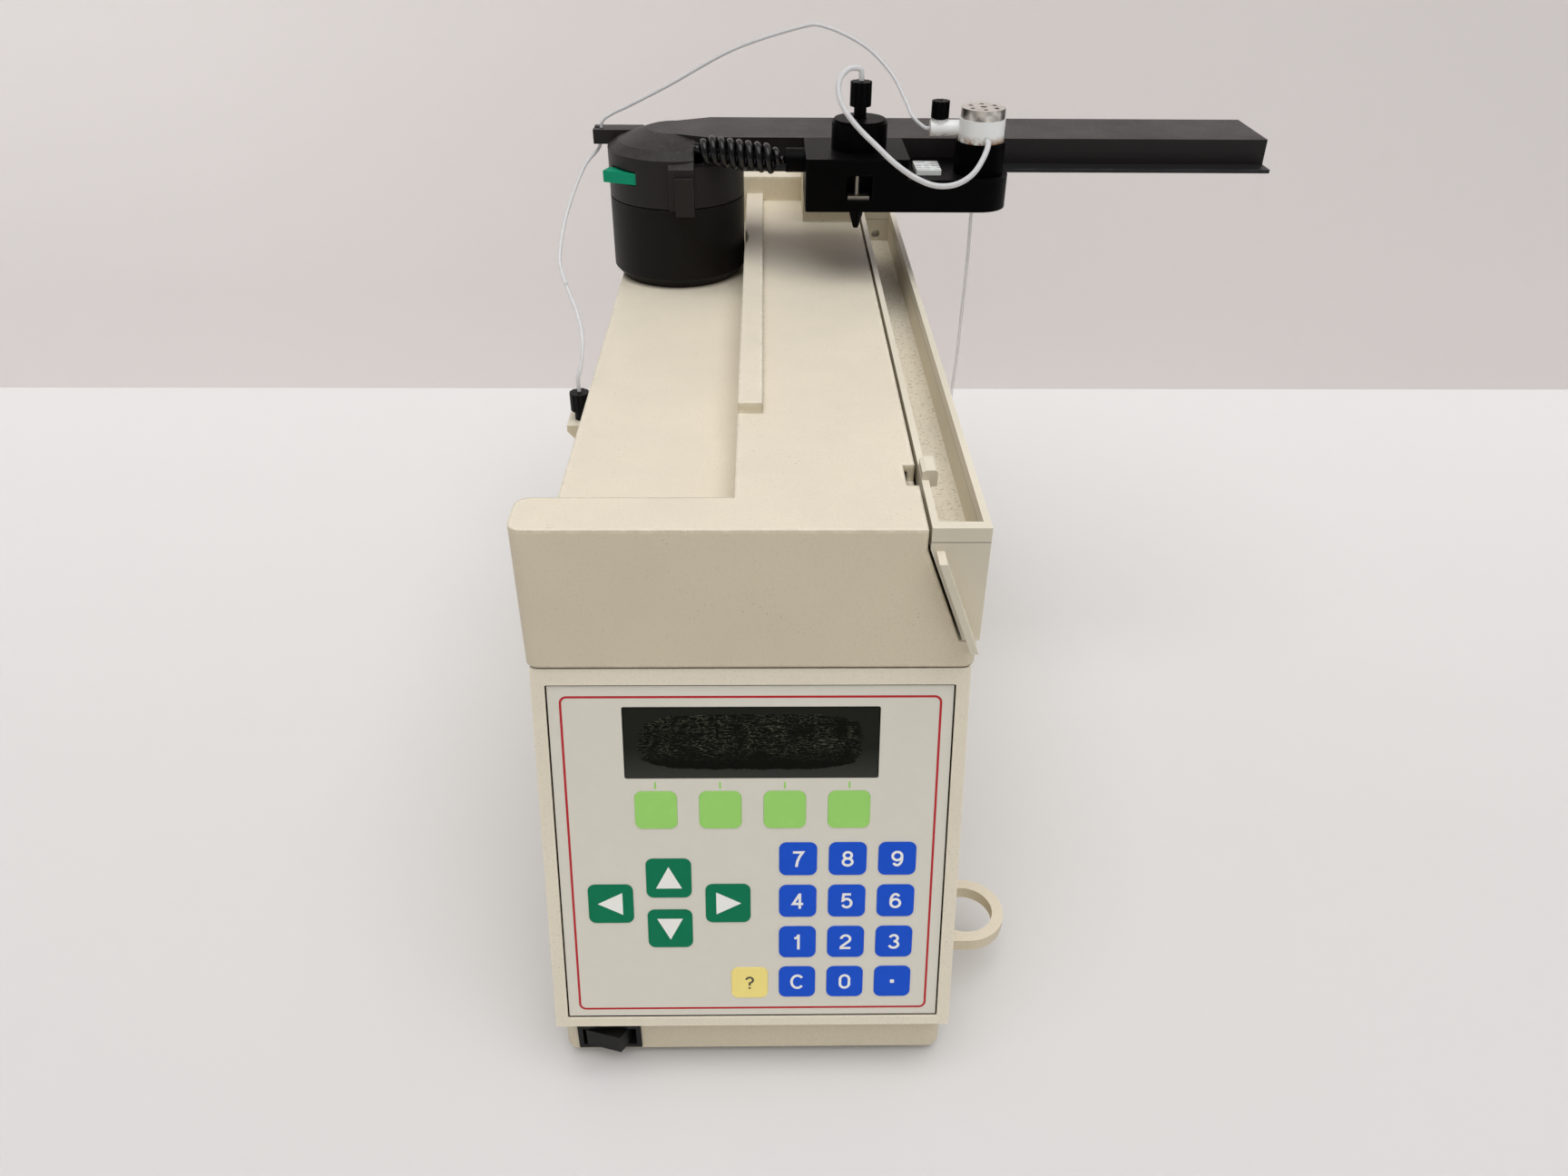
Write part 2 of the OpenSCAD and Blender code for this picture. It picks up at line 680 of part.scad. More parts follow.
module drain_trough() {
    right = half_w;
    color(cream) {
        difference() {
            union() {
                along_y(nose_y, trough_rear) trough_outline();
                // the drain spigot at the rear end
                translate([right - 9, trough_rear - 1, floor_z + spigot_r]) rotate([-90, 0, 0])
                    cylinder(h = 13, r = spigot_r);
            }
            // the channel
            along_y(nose_y + 4, trough_rear - 2.5) polygon([
                [trough_x + 2.3, deck_z + 5], [trough_x + 2.3, deck_z - 7], [trough_x + 5.5, floor_z],
                [right - 2.3, floor_z], [right - 2.3, deck_z + 5]]);
            // the hollow under the channel
            along_y(nose_y + 4, trough_rear + 1) polygon([
                [trough_x + 8.4, floor_z - wall], [right - 2.3, floor_z - wall],
                [right - 2.3, skirt_z + 5], [right - 4, skirt_z + 5]]);
            translate([right - 9, trough_rear - 10, floor_z + spigot_r]) rotate([-90, 0, 0])
                cylinder(h = 40, r = spigot_bore);
        }
        // the slanted pull rib on the front
        along_y(nose_y - rib_out, nose_y) intersection() {
            polygon([[trough_x + 1.8, deck_z - 7.4], [trough_x + 1.8 + rib_w, deck_z - 7.4],
                [right - 4 + rib_w, skirt_z + 0.6], [right - 4, skirt_z + 0.6]]);
            translate([trough_x, skirt_z]) square([right - trough_x, deck_z - skirt_z]);
        }
        // the clip over the inner edge of the trough
        along_y(clip_y, clip_y + clip_d) polygon([
            [trough_x + 0.1, deck_z - 2], [trough_x + 0.1, deck_z + 3.6], [trough_x + 1.4, deck_z + 4.4],
            [trough_x + 4.4, deck_z + 4.4], [trough_x + 5.2, deck_z + 3.6], [trough_x + 5.2, deck_z - 1.5],
            [trough_x + 3.4, deck_z - 1.5], [trough_x + 3.4, deck_z - 2]]);
    }
}

// ---- tube bracket ----

module tube_bracket() {
    color(cream) difference() {
        along_y(bracket_y - 7, bracket_y + 7) polygon([
            [-deck_left, bracket_z], [-deck_left - 9.5, bracket_z], [-deck_left - 9.5, bracket_z - bracket_t],
            [-deck_left - bracket_t, bracket_z - 10.5], [-deck_left, bracket_z - 10.5]]);
        post(bracket_x, bracket_y, bracket_z - 12, bracket_z + 1, 2.5);
    }
}

module bracket_nut() {
    color(black) translate([bracket_x, bracket_y, bracket_z]) difference() {
        union() {
            cylinder(h = neck_h, r = 2.6);
            translate([0, 0, neck_h]) cylinder(h = fitting_h - neck_h, r = bracket_r);
            translate([0, 0, -9]) cylinder(h = 9, r = 2.4);
        }
        translate([0, 0, -10]) cylinder(h = fitting_h + 11, r = thin_d / 2 - 0.1);
        for (a = [0:30:330]) rotate(a) translate([bracket_r, 0, neck_h - 1])
            cylinder(h = fitting_h, r = 0.4, $fn = 16);
    }
}

// ---- swing drive ----

bearing_r = 19;
foot_in = 4;
bearing_h = 7;
sleeve_r = 15;
drum_wall = 8;
mouth_in = 6.5;          // the flare of the drum's mouth round the sleeve, across and down
mouth_h = 4;
gear_z = skirt_z - wall - 9;
gear_h = 8;
pitch_gap = gear_module * (gear_teeth + pinion_teeth) / 2;
motor_dir = -50;
motor_c = axis + pitch_gap * [cos(motor_dir), sin(motor_dir)];
bearing_z = [left_z - 22, left_z - 12];
sleeve_z = left_z + 4;

module pedestal() {
    color(black) difference() {
        union() {
            translate([axis[0], axis[1], left_z]) rotate_extrude($fn = 96)
                polygon([[0, 0], [drum_r - foot_in, 0], [drum_r, 1.2 * foot_in], [drum_r, drum_h], [0, drum_h]]);
            post(axis[0], axis[1], bearing_z[0] - 2, left_z + 1, collar_r);
        }
        post(axis[0], axis[1], bearing_z[0], bearing_z[1] + bearing_h, bearing_r);
        post(axis[0], axis[1], bearing_z[0] - 3, bearing_z[0] + 1, bearing_r - 3);
        post(axis[0], axis[1], bearing_z[1] + bearing_h - 1, sleeve_z, spindle_r + 2);
        post(axis[0], axis[1], sleeve_z - 1, drum_top + 1, drum_r - drum_wall);
        // the flared mouth round the sleeve
        translate([axis[0], axis[1], drum_top - mouth_h])
            cylinder(h = mouth_h, r1 = drum_r - drum_wall, r2 = drum_r - drum_wall + mouth_in);
    }
}

module spindle_bearings() {
    color("silver") for (z = bearing_z) difference() {
        post(axis[0], axis[1], z, z + bearing_h, bearing_r);
        post(axis[0], axis[1], z - 1, z + bearing_h + 1, spindle_r + run_fit);
    }
}

module spindle() {
    color("lightgray") difference() {
        post(axis[0], axis[1], gear_z - 2, arm_z - 0.5, spindle_r);
        post(axis[0], axis[1], gear_z - 3, arm_z, spindle_r - 3);
    }
}

gear_root = gear_module * (gear_teeth / 2 - 1.2);
hole_at = (spindle_r + gear_root) / 2;
hole_r = (gear_root - spindle_r) / 2 - 2;

module swing_gear() {
    color("wheat") difference() {
        translate([axis[0], axis[1], gear_z]) linear_extrude(gear_h) gear_outline(gear_teeth, 0);
        post(axis[0], axis[1], gear_z - 1, gear_z + gear_h + 1, spindle_r);
        for (a = [0:60:300])
            post(axis[0] + hole_at * cos(a), axis[1] + hole_at * sin(a), gear_z - 1, gear_z + gear_h + 1, hole_r);
    }
}

// the pinion's turn that puts its gap opposite a tooth of the gear
tooth_at = round(motor_dir * gear_teeth / 360) * 360 / gear_teeth;
pinion_shift = motor_dir + 180 + 180 / pinion_teeth + (motor_dir - tooth_at) * gear_teeth / pinion_teeth;

module motor_pinion() {
    color("silver") difference() {
        translate([motor_c[0], motor_c[1], gear_z]) linear_extrude(gear_h) gear_outline(pinion_teeth, pinion_shift);
        post(motor_c[0], motor_c[1], gear_z - 1, gear_z + gear_h + 1, shaft_r + run_fit);
    }
}

motor_w = 39;
motor_top = gear_z - 5;
plate_t = 2.5;

motor_h = 34;
shaft_r = 2.5;
plate_out = motor_w / 2 + 6.5;
hanger_at = [[-22, -22], [22, -22], [22, 16]];

module swing_motor() {
    color("#555555") translate([motor_c[0], motor_c[1], motor_top]) {
        translate([-motor_w / 2, -motor_w / 2, -plate_t - motor_h]) cube([motor_w, motor_w, motor_h]);
        translate([0, 0, -1]) cylinder(h = gear_z + gear_h + 3 - motor_top, r = shaft_r);
    }
    // the plate that carries the motor, hung from the deck on three posts
    color("silver") {
        block([motor_c[0] - plate_out, motor_c[1] - plate_out, motor_top - plate_t],
            [motor_c[0] + plate_out, motor_c[1] + 20, motor_top]);
        for (h = hanger_at) {
            top = motor_c[0] + h[0] < -raise_left + wall ? left_z : deck_z;
            post(motor_c[0] + h[0], motor_c[1] + h[1], motor_top - plate_t, top - wall, 2.5);
        }
    }
}

// ---- arm ----

shoulder_h = 21.5;       // the head's wall up to its sloping shoulder
shoulder_in = 5;         // the break in the shoulder's slope, in from the wall and up
shoulder_up = 3.4;
crown_r = 13.5;          // the flat crown that the shoulder slopes up to
taper = 16;              // how far right of the axis the arm reaches its full depth
tab_w = 8.5;
tab_h = 17;
hook = [[-7.5, 6, -6.5], [16, 17, 0]];
hook_slack = 0.5;
lever_z = head_z + 9.5;
lever_h = 5.2;
lever_len = 16;
lever_w = 7;
pivot = axis + [-16.6, -23.2];
lever_turn = 160.2;
pin_r = 1.5;
slack = 2;               // free angle before the lever's first stop
lever_swing = 27;        // angle of the lever's last stop

// the sector that the lever sweeps, with half its width and its reach
module lever_sweep(half, reach) {
    polygon([
        half * [sin(-slack), -cos(slack)], half * [sin(-slack), -cos(slack)] + reach * [cos(slack), -sin(slack)],
        reach * 1.1 * [cos(lever_swing / 2), sin(lever_swing / 2)],
        half * [-sin(lever_swing), cos(lever_swing)] + reach * [cos(lever_swing), sin(lever_swing)],
        half * [-sin(lever_swing), cos(lever_swing)]]);
}

// the tab that hangs over the parting line, set into the boss
module ear_tab(slack) {
    block([boss_right - tab_w, boss_y - 1, head_z - 2] - slack * [1, 1, 1],
        [boss_right, boss_y + 1.5, head_z - 2 + tab_h] + slack * [1, 1, 1]);
}

module head_solid() {
    translate([axis[0], axis[1], head_z]) rotate_extrude($fn = 96)
        polygon([[0, 0], [drum_r, 0], [drum_r, shoulder_h], [drum_r - shoulder_in, shoulder_h + shoulder_up],
            [crown_r, head_h], [0, head_h]]);
    // the arm, which narrows to the crown
    translate([0, 0, arm_z]) linear_extrude(arm_h) polygon([
        [axis[0], axis_y - crown_r], [axis[0] + taper, arm_front], [arm_tip, arm_front],
        [arm_tip, arm_rear], [axis[0] + taper, arm_rear], [axis[0], axis_y + crown_r]]);
    // the boss at the front, which slopes down from the arm
    along_x(boss_right - boss_w, boss_right) polygon([
        [boss_y + 1, head_z], [boss_y + 1, head_z + 18.5], [arm_front, arm_top - 2.5], [arm_front + 6, arm_top - 1],
        [arm_front + 6, head_z]]);
    // the tube hook
    translate([axis[0] - drum_r, axis_y, hook_c[2]]) block(hook[0], hook[1]);
}

module arm_cover() {
    color(black) ear_tab(0);
    color(black) difference() {
        head_solid();
        ear_tab(run_fit);
        // the ledge that the curly cord starts over
        block([boss_right, boss_y - 5, arm_z - 0.5], [boss_right + 2 * drum_r, arm_front, arm_top + 1]);
        // the hollow of the arm
        block([axis[0] + drum_r - 6, arm_front + 2, arm_z - 1], [arm_tip - 2, arm_rear - 2, arm_top - 2]);
        translate([axis[0] + drum_r - 10, screw_y, screw_z]) rotate([0, 90, 0]) cylinder(h = 12, r = screw_r + 0.4);
        // the room for the motor and the spindle in the head
        difference() {
            post(axis[0], axis[1], head_z - 1, arm_z + 6, drum_r - 8);
            block(concat(axis, head_z - 2) + [-40, -40, 0], concat(axis, arm_top) + [-12.5, 0, 0]);
            post(axis[0], axis[1], head_z - 2, arm_top, sleeve_r);
        }
        post(axis[0], axis[1], head_z - 2, arm_z, spindle_r + run_fit);
        // the room for the motor
        block([motor_x - 0.3, screw_y - 8, screw_z - 8], [motor_x + motor_len + 0.3, screw_y + 8, arm_top - 2]);
        // the slot of the lever
        translate([pivot[0], pivot[1], lever_z - 0.5]) rotate(lever_turn) linear_extrude(lever_h + 1.4) {
            circle(lever_w / 2 + 0.7);
            lever_sweep(lever_w / 2 + 0.5, lever_len + 8);
        }
        // the slot of the tube hook
        translate(hook_c - [0, 0, 9]) {
            cylinder(h = 10, r = thin_d / 2 + hook_slack);
            translate([-8, -(thin_d / 2 + hook_slack), 0]) cube([8, thin_d + 2 * hook_slack, 10]);
        }
    }
    // the sleeve that runs on the spindle
    color(black) difference() {
        post(axis[0], axis[1], sleeve_z + 0.5, head_z + 1, sleeve_r);
        post(axis[0], axis[1], sleeve_z - 1, head_z + 2, spindle_r + run_fit);
    }
    // the pin of the lever
    color("silver") post(pivot[0], pivot[1], lever_z - 1, lever_z + lever_h + 1, pin_r);
}

module lock_lever() {
    color("#0f8f56") translate([pivot[0], pivot[1], lever_z]) rotate(lever_turn) difference() {
        linear_extrude(lever_h) {
            circle(lever_w / 2);
            translate([0, -lever_w / 2]) square([lever_len, lever_w]);
        }
        translate([0, 0, -1]) cylinder(h = lever_h + 2, r = pin_r + run_fit);
    }
}

rail_left = axis[0] + drum_r - 3;
slot_half = 5;
bush_x = [arm_tip - 14, arm_tip - 9];
journal_r = 1.5;
motor_r = 7;
motor_x = axis[0] + spindle_r + 1.5;
motor_len = 17;
lead_x = motor_x + motor_len + 1;

module arm_rail() {
    color(black) difference() {
        union() {
            block([rail_left, flange_y, rail_z], [arm_tip, arm_front + 8, arm_z]);
            block([rail_left, flange_y, rail_z], [arm_tip - 2.3, arm_rear - 2.3, arm_z]);
            // the upstands that the screw passes and runs in
            block([rail_left + 6, screw_y - 6, rail_z], [rail_left + 9, screw_y + 6, arm_top - 2.3]);
            block([bush_x[0], screw_y - 6, rail_z], [bush_x[1], screw_y + 6, arm_top - 2.3]);
        }
        post(axis[0], axis[1], rail_z - 1, arm_z + 1, drum_r + 0.2);
        block([rail_left + 9, screw_y - slot_half, rail_z - 1], [bush_x[0], screw_y + slot_half, arm_z + 1]);
        translate([rail_left - 1, screw_y, screw_z]) rotate([0, 90, 0]) cylinder(h = 12, r = screw_r + 0.3);
        translate([bush_x[0] - 1, screw_y, screw_z]) rotate([0, 90, 0])
            cylinder(h = 8, r = journal_r + run_fit);
    }
}

module slide_motor() {
    color("#555555") translate([motor_x, screw_y, screw_z]) rotate([0, 90, 0]) {
        difference() {
            cylinder(h = motor_len, r = motor_r);
            translate([0, 0, motor_len - 6]) cylinder(h = 7, r = 1 + run_fit);
        }
    }
}

module lead_screw() {
    color("silver") translate([0, screw_y, screw_z]) rotate([0, 90, 0]) {
        translate([0, 0, motor_x + motor_len - 5]) cylinder(h = 7, r = 1);
        translate([0, 0, lead_x]) cylinder(h = bush_x[0] - 0.4 - lead_x, r = screw_r);
        translate([0, 0, bush_x[0] - 1]) cylinder(h = 5.5, r = journal_r);
    }
}

// ---- carriage ----

groove = 0.35;

module carriage_body() {
    color(black) difference() {
        union() {
            round_block([car_left, car_y, car_z], [car_right + 0.01, arm_front - groove, car_top], 1.2);
            // the lower right block, round about the valve
            block([car_right - 2, car_y, car_z], [valve_x, arm_front - groove, low_top]);
            block([car_right - 2, valve_y, car_z], [valve_x + end_r, flange_y - 1, low_top]);
            post(valve_x, car_y + end_r, car_z, low_top, end_r);
            // the foot under the rail and the nut on the screw
            block([car_left + 6, flange_y - 6, car_z], [car_left + 30, screw_y + 8, rail_z - groove]);
            block([car_left + 8, screw_y - 4, car_z], [car_left + 24, screw_y + 4, screw_z + 4.2]);
        }
        // the groove for the rail's flange
        block([car_left - 1, flange_y - groove, rail_z - groove], [valve_x + 40, arm_front + 1, arm_z + groove]);
        translate([car_left, screw_y, screw_z]) rotate([0, 90, 0]) cylinder(h = 40, r = screw_r + run_fit);
        // the bore that the drop tip sits in
        post(knob_x, knob_y, car_z - 1, car_top + 1, 3.2);
        // the front window of the sensor
        block([knob_x - 6.5, car_y - 1, car_z + 5], [knob_x + 5, car_y + 10, car_z + 15.5]);
        // the waste bore under the valve
        post(valve_x, valve_y + 6, car_z - 1, car_z + 6, thin_d / 2);
    }
    // the boot of the curly cord
    color(black) translate(cord_end) rotate([0, 90, 0]) cylinder(h = boot_len, r = boot_r, $fn = 32);
}

module drop_knob() {
    color(black) difference() {
        union() {
            translate([knob_x, knob_y, car_top]) cylinder(h = knob_h - 1, r = knob_r);
            translate([knob_x, knob_y, knob_top - 1]) cylinder(h = 1, r = knob_r - 1);
        }
        post(knob_x, knob_y, car_top - 1, knob_top + 1, 3.2);
    }
}

// a finger nut with a neck, a grip and a bore
module finger_nut(neck, grip, r, bore) {
    difference() {
        union() {
            cylinder(h = neck, r = 2.75);
            translate([0, 0, neck]) cylinder(h = grip, r = r);
        }
        for (a = [0:30:330]) rotate(a) translate([r, 0, neck - 1]) cylinder(h = grip + 2, r = 0.5, $fn = 16);
        translate([0, 0, -1]) cylinder(h = grip + neck + 2, r = bore);
    }
}

module fitting_nuts() {
    color(black) translate([knob_x, knob_y, knob_top]) finger_nut(nut_z - knob_top, nut_h, nut_r, thick_d / 2 - 0.4);
    color(black) translate([port[0], port[1], port_top]) finger_nut(0.5, 7, 3.9, 0.8);
}

module drop_tip() {
    color(black) difference() {
        union() {
            post(knob_x, knob_y, tip_z + tip_len, knob_top - 0.5, 3);
            translate([knob_x, knob_y, tip_z]) cylinder(h = tip_len, r1 = 1.2, r2 = 3);
        }
        post(knob_x, knob_y, tip_z - 1, knob_top + 1, 0.8);
    }
}

module drop_sensor() {
    color("silver") {
        translate([knob_x - 1.5, car_y + 4, car_z + 5]) cylinder(h = 10.5, r = 1.1);
        block([knob_x - 5.5, car_y + 1.5, car_z + 5], [knob_x + 4, car_y + 8, car_z + 6.6]);
    }
}

module valve_coil() {
    color(black) post(valve_x, valve_y, low_top, coil_top, coil_r);
}

module valve_body() {
    color(pale) difference() {
        union() {
            post(valve_x, valve_y, coil_top, body_top, body_r);
            // the side port and the post that its nut stands on
            translate(port_end) rotate([0, 90, 0]) cylinder(h = valve_x - port_end[0] - 4, r = port_r);
            post(port[0], port[1], port[2], port_top, port_r - 0.4);
        }
        translate(valve_exit + [0, 2, 0]) rotate([90, 0, 0]) cylinder(h = 6, r = thick_d / 2 + 0.05);
        translate([0, 0, -1]) post(port[0], port[1], port_top - 1, port_top + 2, 0.8);
    }
    // the pad between the blocks
    color(pale) block([car_right + 4, car_y + 8, low_top], [car_right + 15, car_y + 24, low_top + 2.2]);
}

module valve_cap() {
    color("silver") difference() {
        post(valve_x, valve_y, body_top, cap_top, cap_r);
        for (a = [30:60:330]) post(valve_x + 6 * cos(a), valve_y + 6 * sin(a), body_top + 1, cap_top + 1, 1.1);
        post(valve_x, valve_y, body_top + 1.5, cap_top + 1, 1.5);
    }
}

// ---- cords and tubes ----

curl_rings = 8;
ease = 6;
curl_steps = curls * curl_rings;
straight = 2.4;
curl_span = cord_end - cord_start - [2 * straight, 0, 0];

function curl_radius(i) = curl_r * min(1, i / ease, (curl_steps - i) / ease);
function curl_point(i) = cord_start + [straight, 0, 0] + curl_span * i / curl_steps
    + curl_radius(i) * [0, cos(360 * i / curl_rings - 90), sin(360 * i / curl_rings - 90)];
curl_line = concat([cord_start], [for (i = [0:curl_steps]) curl_point(i)], [cord_end]);

// the least gap of the curls to themselves, between points more than half a curl apart
curl_gap = min([for (i = [0:len(curl_line) - 1], j = [i + curl_rings / 2 + 1:1:len(curl_line) - 1])
    norm(curl_line[i] - curl_line[j])]) - strand_d;
echo(str("least gap of the curly cord to itself, mm: ", curl_gap));
echo(str("length of the curly cord's strand, mm: ", line_length(curl_line)));

module curly_cord() {
    sides = 6;
    last = len(curl_line) - 1;
    pts = [for (i = [0:last])
        let (a = 360 * max(0, min(i - 1, curl_steps)) / curl_rings - 90,
             t = (i == 0 || i == last) ? [1, 0, 0] : heading(curl_line, i),
             out = [0, cos(a), sin(a)],
             v = unit(cross(t, out)), u = cross(v, t))
        for (s = [0:sides - 1])
            curl_line[i] + strand_d / 2 * (cos(360 * s / sides) * u + sin(360 * s / sides) * v)];
    color(black) polyhedron(pts, tube_faces(last + 1, sides), convexity = 10);
}

module inlet_tube() {
    line = spline(inlet_pts, 3);
    echo(str("length of the inlet tube, mm: ", line_length(line)));
    color(pale) tube(line, thin_d, 8, [0.2, 1, 0.35]);
}

module drop_tube() {
    line = spline(drop_pts, 3);
    echo(str("length of the drop tube, mm: ", line_length(line)));
    color(pale) tube(line, thick_d, 8, [-0.35, 0.1, 1]);
}

module waste_tube() {
    line = spline(waste_pts, 5);
    echo(str("length of the waste tube, mm: ", line_length(line)));
    color(pale) tube(line, thin_d, 8, [0, 1, 0]);
}

module keys_named(name) {
    for (k = KEYS) {
        if (k[0] == name) {
            panel_key(k);
        }
    }
}

base_pan();
rubber_feet();
lower_housing();
top_cover();
side_ring();
keypad_overlay();
display_module();
circuit_boards();
transformer();
power_inlet();
switch_frame();
power_rocker();
tube_bracket();
bracket_nut();
pedestal();
spindle_bearings();
swing_motor();
case_screws();
drain_trough();
spindle();
swing_gear();
motor_pinion();
arm_cover();
arm_rail();
slide_motor();
lead_screw();
lock_lever();
carriage_body();
drop_knob();
fitting_nuts();
drop_tip();
valve_coil();
valve_body();
valve_cap();
drop_sensor();
curly_cord();
inlet_tube();
drop_tube();
waste_tube();
for (k = KEYS) {
    color(key_colour(k[0])) keys_named(k[0]);
}

function key_colour(name) =
    name == "help_key" ? "#f2d985"
    : name[0] == "s" ? "#8fd07a"
    : name[0] == "a" ? "#0b7a4a"
    : "#2a4fb5";
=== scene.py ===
import math

import bpy
from mathutils import Matrix, Vector


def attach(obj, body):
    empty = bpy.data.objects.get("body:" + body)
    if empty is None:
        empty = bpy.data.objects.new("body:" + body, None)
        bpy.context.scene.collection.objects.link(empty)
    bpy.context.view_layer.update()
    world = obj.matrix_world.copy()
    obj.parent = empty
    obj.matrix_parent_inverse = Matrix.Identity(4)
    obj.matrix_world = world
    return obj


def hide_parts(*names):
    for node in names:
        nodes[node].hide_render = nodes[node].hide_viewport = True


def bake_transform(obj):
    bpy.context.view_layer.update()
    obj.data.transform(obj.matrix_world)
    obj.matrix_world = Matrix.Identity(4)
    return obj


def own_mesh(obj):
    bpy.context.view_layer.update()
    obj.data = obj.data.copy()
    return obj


bl_info = {
    "name": "Fraction collector finish",
    "version": (1, 0, 0),
    "blender": (4, 5, 0),
    "location": "3D View > Sidebar > Collector",
    "description": "Builds the tubes, prints, finishes and studio of the fraction collector",
    "category": "Object",
}

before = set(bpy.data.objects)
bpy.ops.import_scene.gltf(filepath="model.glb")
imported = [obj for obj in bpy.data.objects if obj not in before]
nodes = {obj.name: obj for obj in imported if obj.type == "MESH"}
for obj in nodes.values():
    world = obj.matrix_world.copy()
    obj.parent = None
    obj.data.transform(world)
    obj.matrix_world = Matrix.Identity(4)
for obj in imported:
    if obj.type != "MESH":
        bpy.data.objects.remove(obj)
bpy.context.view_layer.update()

MM = 0.001

# ---- sizes repeated from the part's source, in millimetres ----

PANEL_W = 136.4
PANEL_H = 135.0
PANEL_LEAN = math.radians(13.7)
PANEL_TOP = (12.3, 162.3)       # y and z of the panel's top edge
KEY_FACE = 0.25                 # how far a key stands out of the panel

DISPLAY = (68.3, 21.8)
KEYS = {
    "soft_key_1": (35.1, 47.5), "soft_key_2": (57.4, 47.5), "soft_key_3": (79.7, 47.5), "soft_key_4": (102.0, 47.5),
    "arrow_key_up": (38.7, 75.1), "arrow_key_down": (38.7, 96.3),
    "arrow_key_left": (17.8, 85.7), "arrow_key_right": (59.6, 85.7),
    "number_key_7": (84.5, 67.4), "number_key_8": (102.0, 67.4), "number_key_9": (119.5, 67.4),
    "number_key_4": (84.5, 84.9), "number_key_5": (102.0, 84.9), "number_key_6": (119.5, 84.9),
    "number_key_1": (84.5, 102.4), "number_key_2": (102.0, 102.4), "number_key_3": (119.5, 102.4),
    "clear_key": (84.5, 119.9), "number_key_0": (102.0, 119.9), "point_key": (119.5, 119.9),
    "help_key": (67.1, 120.2),
}
KEY_SIDES = {"soft": 14.6, "arro": 16.0, "numb": 13.3, "help": 13.3}
KEY_GAP = 0.4
KEY_CORNER = 2.6

TROUGH_RIM = 0.2177             # heights of the trough's parting line and channel floor, in metres
TROUGH_FLOOR = 0.2063
COVER_EDGE = 0.1695             # lower edge of the top cover, in metres
PAD_TOP = 0.2718                # top of the printed pad beside the valve, in metres
VALVE_FOOT = 0.2832             # underside of the white valve body, in metres



def bend(cx, cy, rx, ry, begin, end, steps=14):
    """Points along part of an oval, between two angles in degrees."""
    angles = [math.radians(begin + (end - begin) * i / steps) for i in range(steps + 1)]
    return [(cx + rx * math.cos(a), cy + ry * math.sin(a)) for a in angles]


# the strokes of each figure, in millimetres about its middle
SIX = [bend(0, 0, 1.65, 2.72, 42, 180) + [(-1.65, -1.05)], bend(0, -1.05, 1.65, 1.67, 180, 540, 28)]
FIGURES = {
    "0": [bend(0, 1.0, 1.65, 1.72, 0, 180) + bend(0, -1.0, 1.65, 1.72, 180, 360) + [(1.65, 1.0)]],
    "1": [[(-1.1, 1.6), (-0.35, 1.75), (0.1, 2.2), (0.25, 2.75)], [(0.4, -3.2), (0.4, 3.2)]],
    "2": [bend(0, 1.2, 1.62, 1.52, 178, -38) + [(-1.6, -2.2), (-1.65, -2.72), (1.85, -2.72)]],
    "3": [bend(0, 1.4, 1.4, 1.32, 165, -90), bend(0, -1.3, 1.65, 1.42, 90, -165)],
    "4": [[(0.75, -3.2), (0.75, 3.2)], [(0.6, 2.75), (-1.65, -1.2), (1.95, -1.2)]],
    "5": [[(1.5, 2.72), (-1.1, 2.72), (-1.4, 0.1)] + bend(0.05, -0.95, 1.62, 1.77, 142, -158)],
    "6": SIX,
    "7": [[(-1.85, 2.72), (1.6, 2.72), (0.5, 1.0), (-0.25, -1.0), (-0.6, -3.2)]],
    "8": [bend(0, 1.42, 1.38, 1.3, 90, 450, 28), bend(0, -1.3, 1.65, 1.42, 90, 450, 28)],
    "9": [[(-x, -y) for x, y in line] for line in SIX],
    "C": [bend(0.15, 0, 2.15, 2.72, 40, 320, 24)],
    "?": [bend(0, 1.35, 1.45, 1.37, 172, -48) + [(0.1, -0.15), (0, -1.5)], [(0, -3.2), (0, -2.3)]],
}
STROKE = 0.95                   # width of a figure's stroke

# ---- settings a user may change ----


def colour(name, description, default):
    return bpy.props.FloatVectorProperty(
        name=name, description=description, subtype="COLOR", size=3, min=0, max=1, default=default)


def length(name, description, default):
    return bpy.props.FloatProperty(name=name, description=description, unit="LENGTH", default=default, min=0)


def share(name, description, default):
    return bpy.props.FloatProperty(
        name=name, description=description, subtype="FACTOR", default=default, min=0, max=1)


class CaseSettings(bpy.types.PropertyGroup):
    cream: colour("Cream", "Colour of the case mouldings", (0.765, 0.695, 0.56))
    trough: colour("Trough", "Colour of the drain trough", (0.77, 0.71, 0.58))
    grain: length("Grain", "Size of the cast texture on the mouldings", 0.0007)
    specks: share("Specks", "How many dark specks the mouldings show", 0.35)


class PanelSettings(bpy.types.PropertyGroup):
    film: colour("Film", "Colour of the printed panel film", (0.705, 0.67, 0.585))
    border: colour("Border", "Colour of the printed border line", (0.47, 0.014, 0.022))
    soft: colour("Soft keys", "Colour of the keys under the display", (0.33, 0.67, 0.15))
    arrows: colour("Arrow keys", "Colour of the arrow keys", (0.0, 0.18, 0.08))
    numbers: colour("Number keys", "Colour of the number keys", (0.008, 0.083, 0.60))
    help: colour("Help key", "Colour of the help key", (0.93, 0.77, 0.245))
    ink: colour("Ink", "Colour of the marks on the keys", (0.88, 0.87, 0.82))


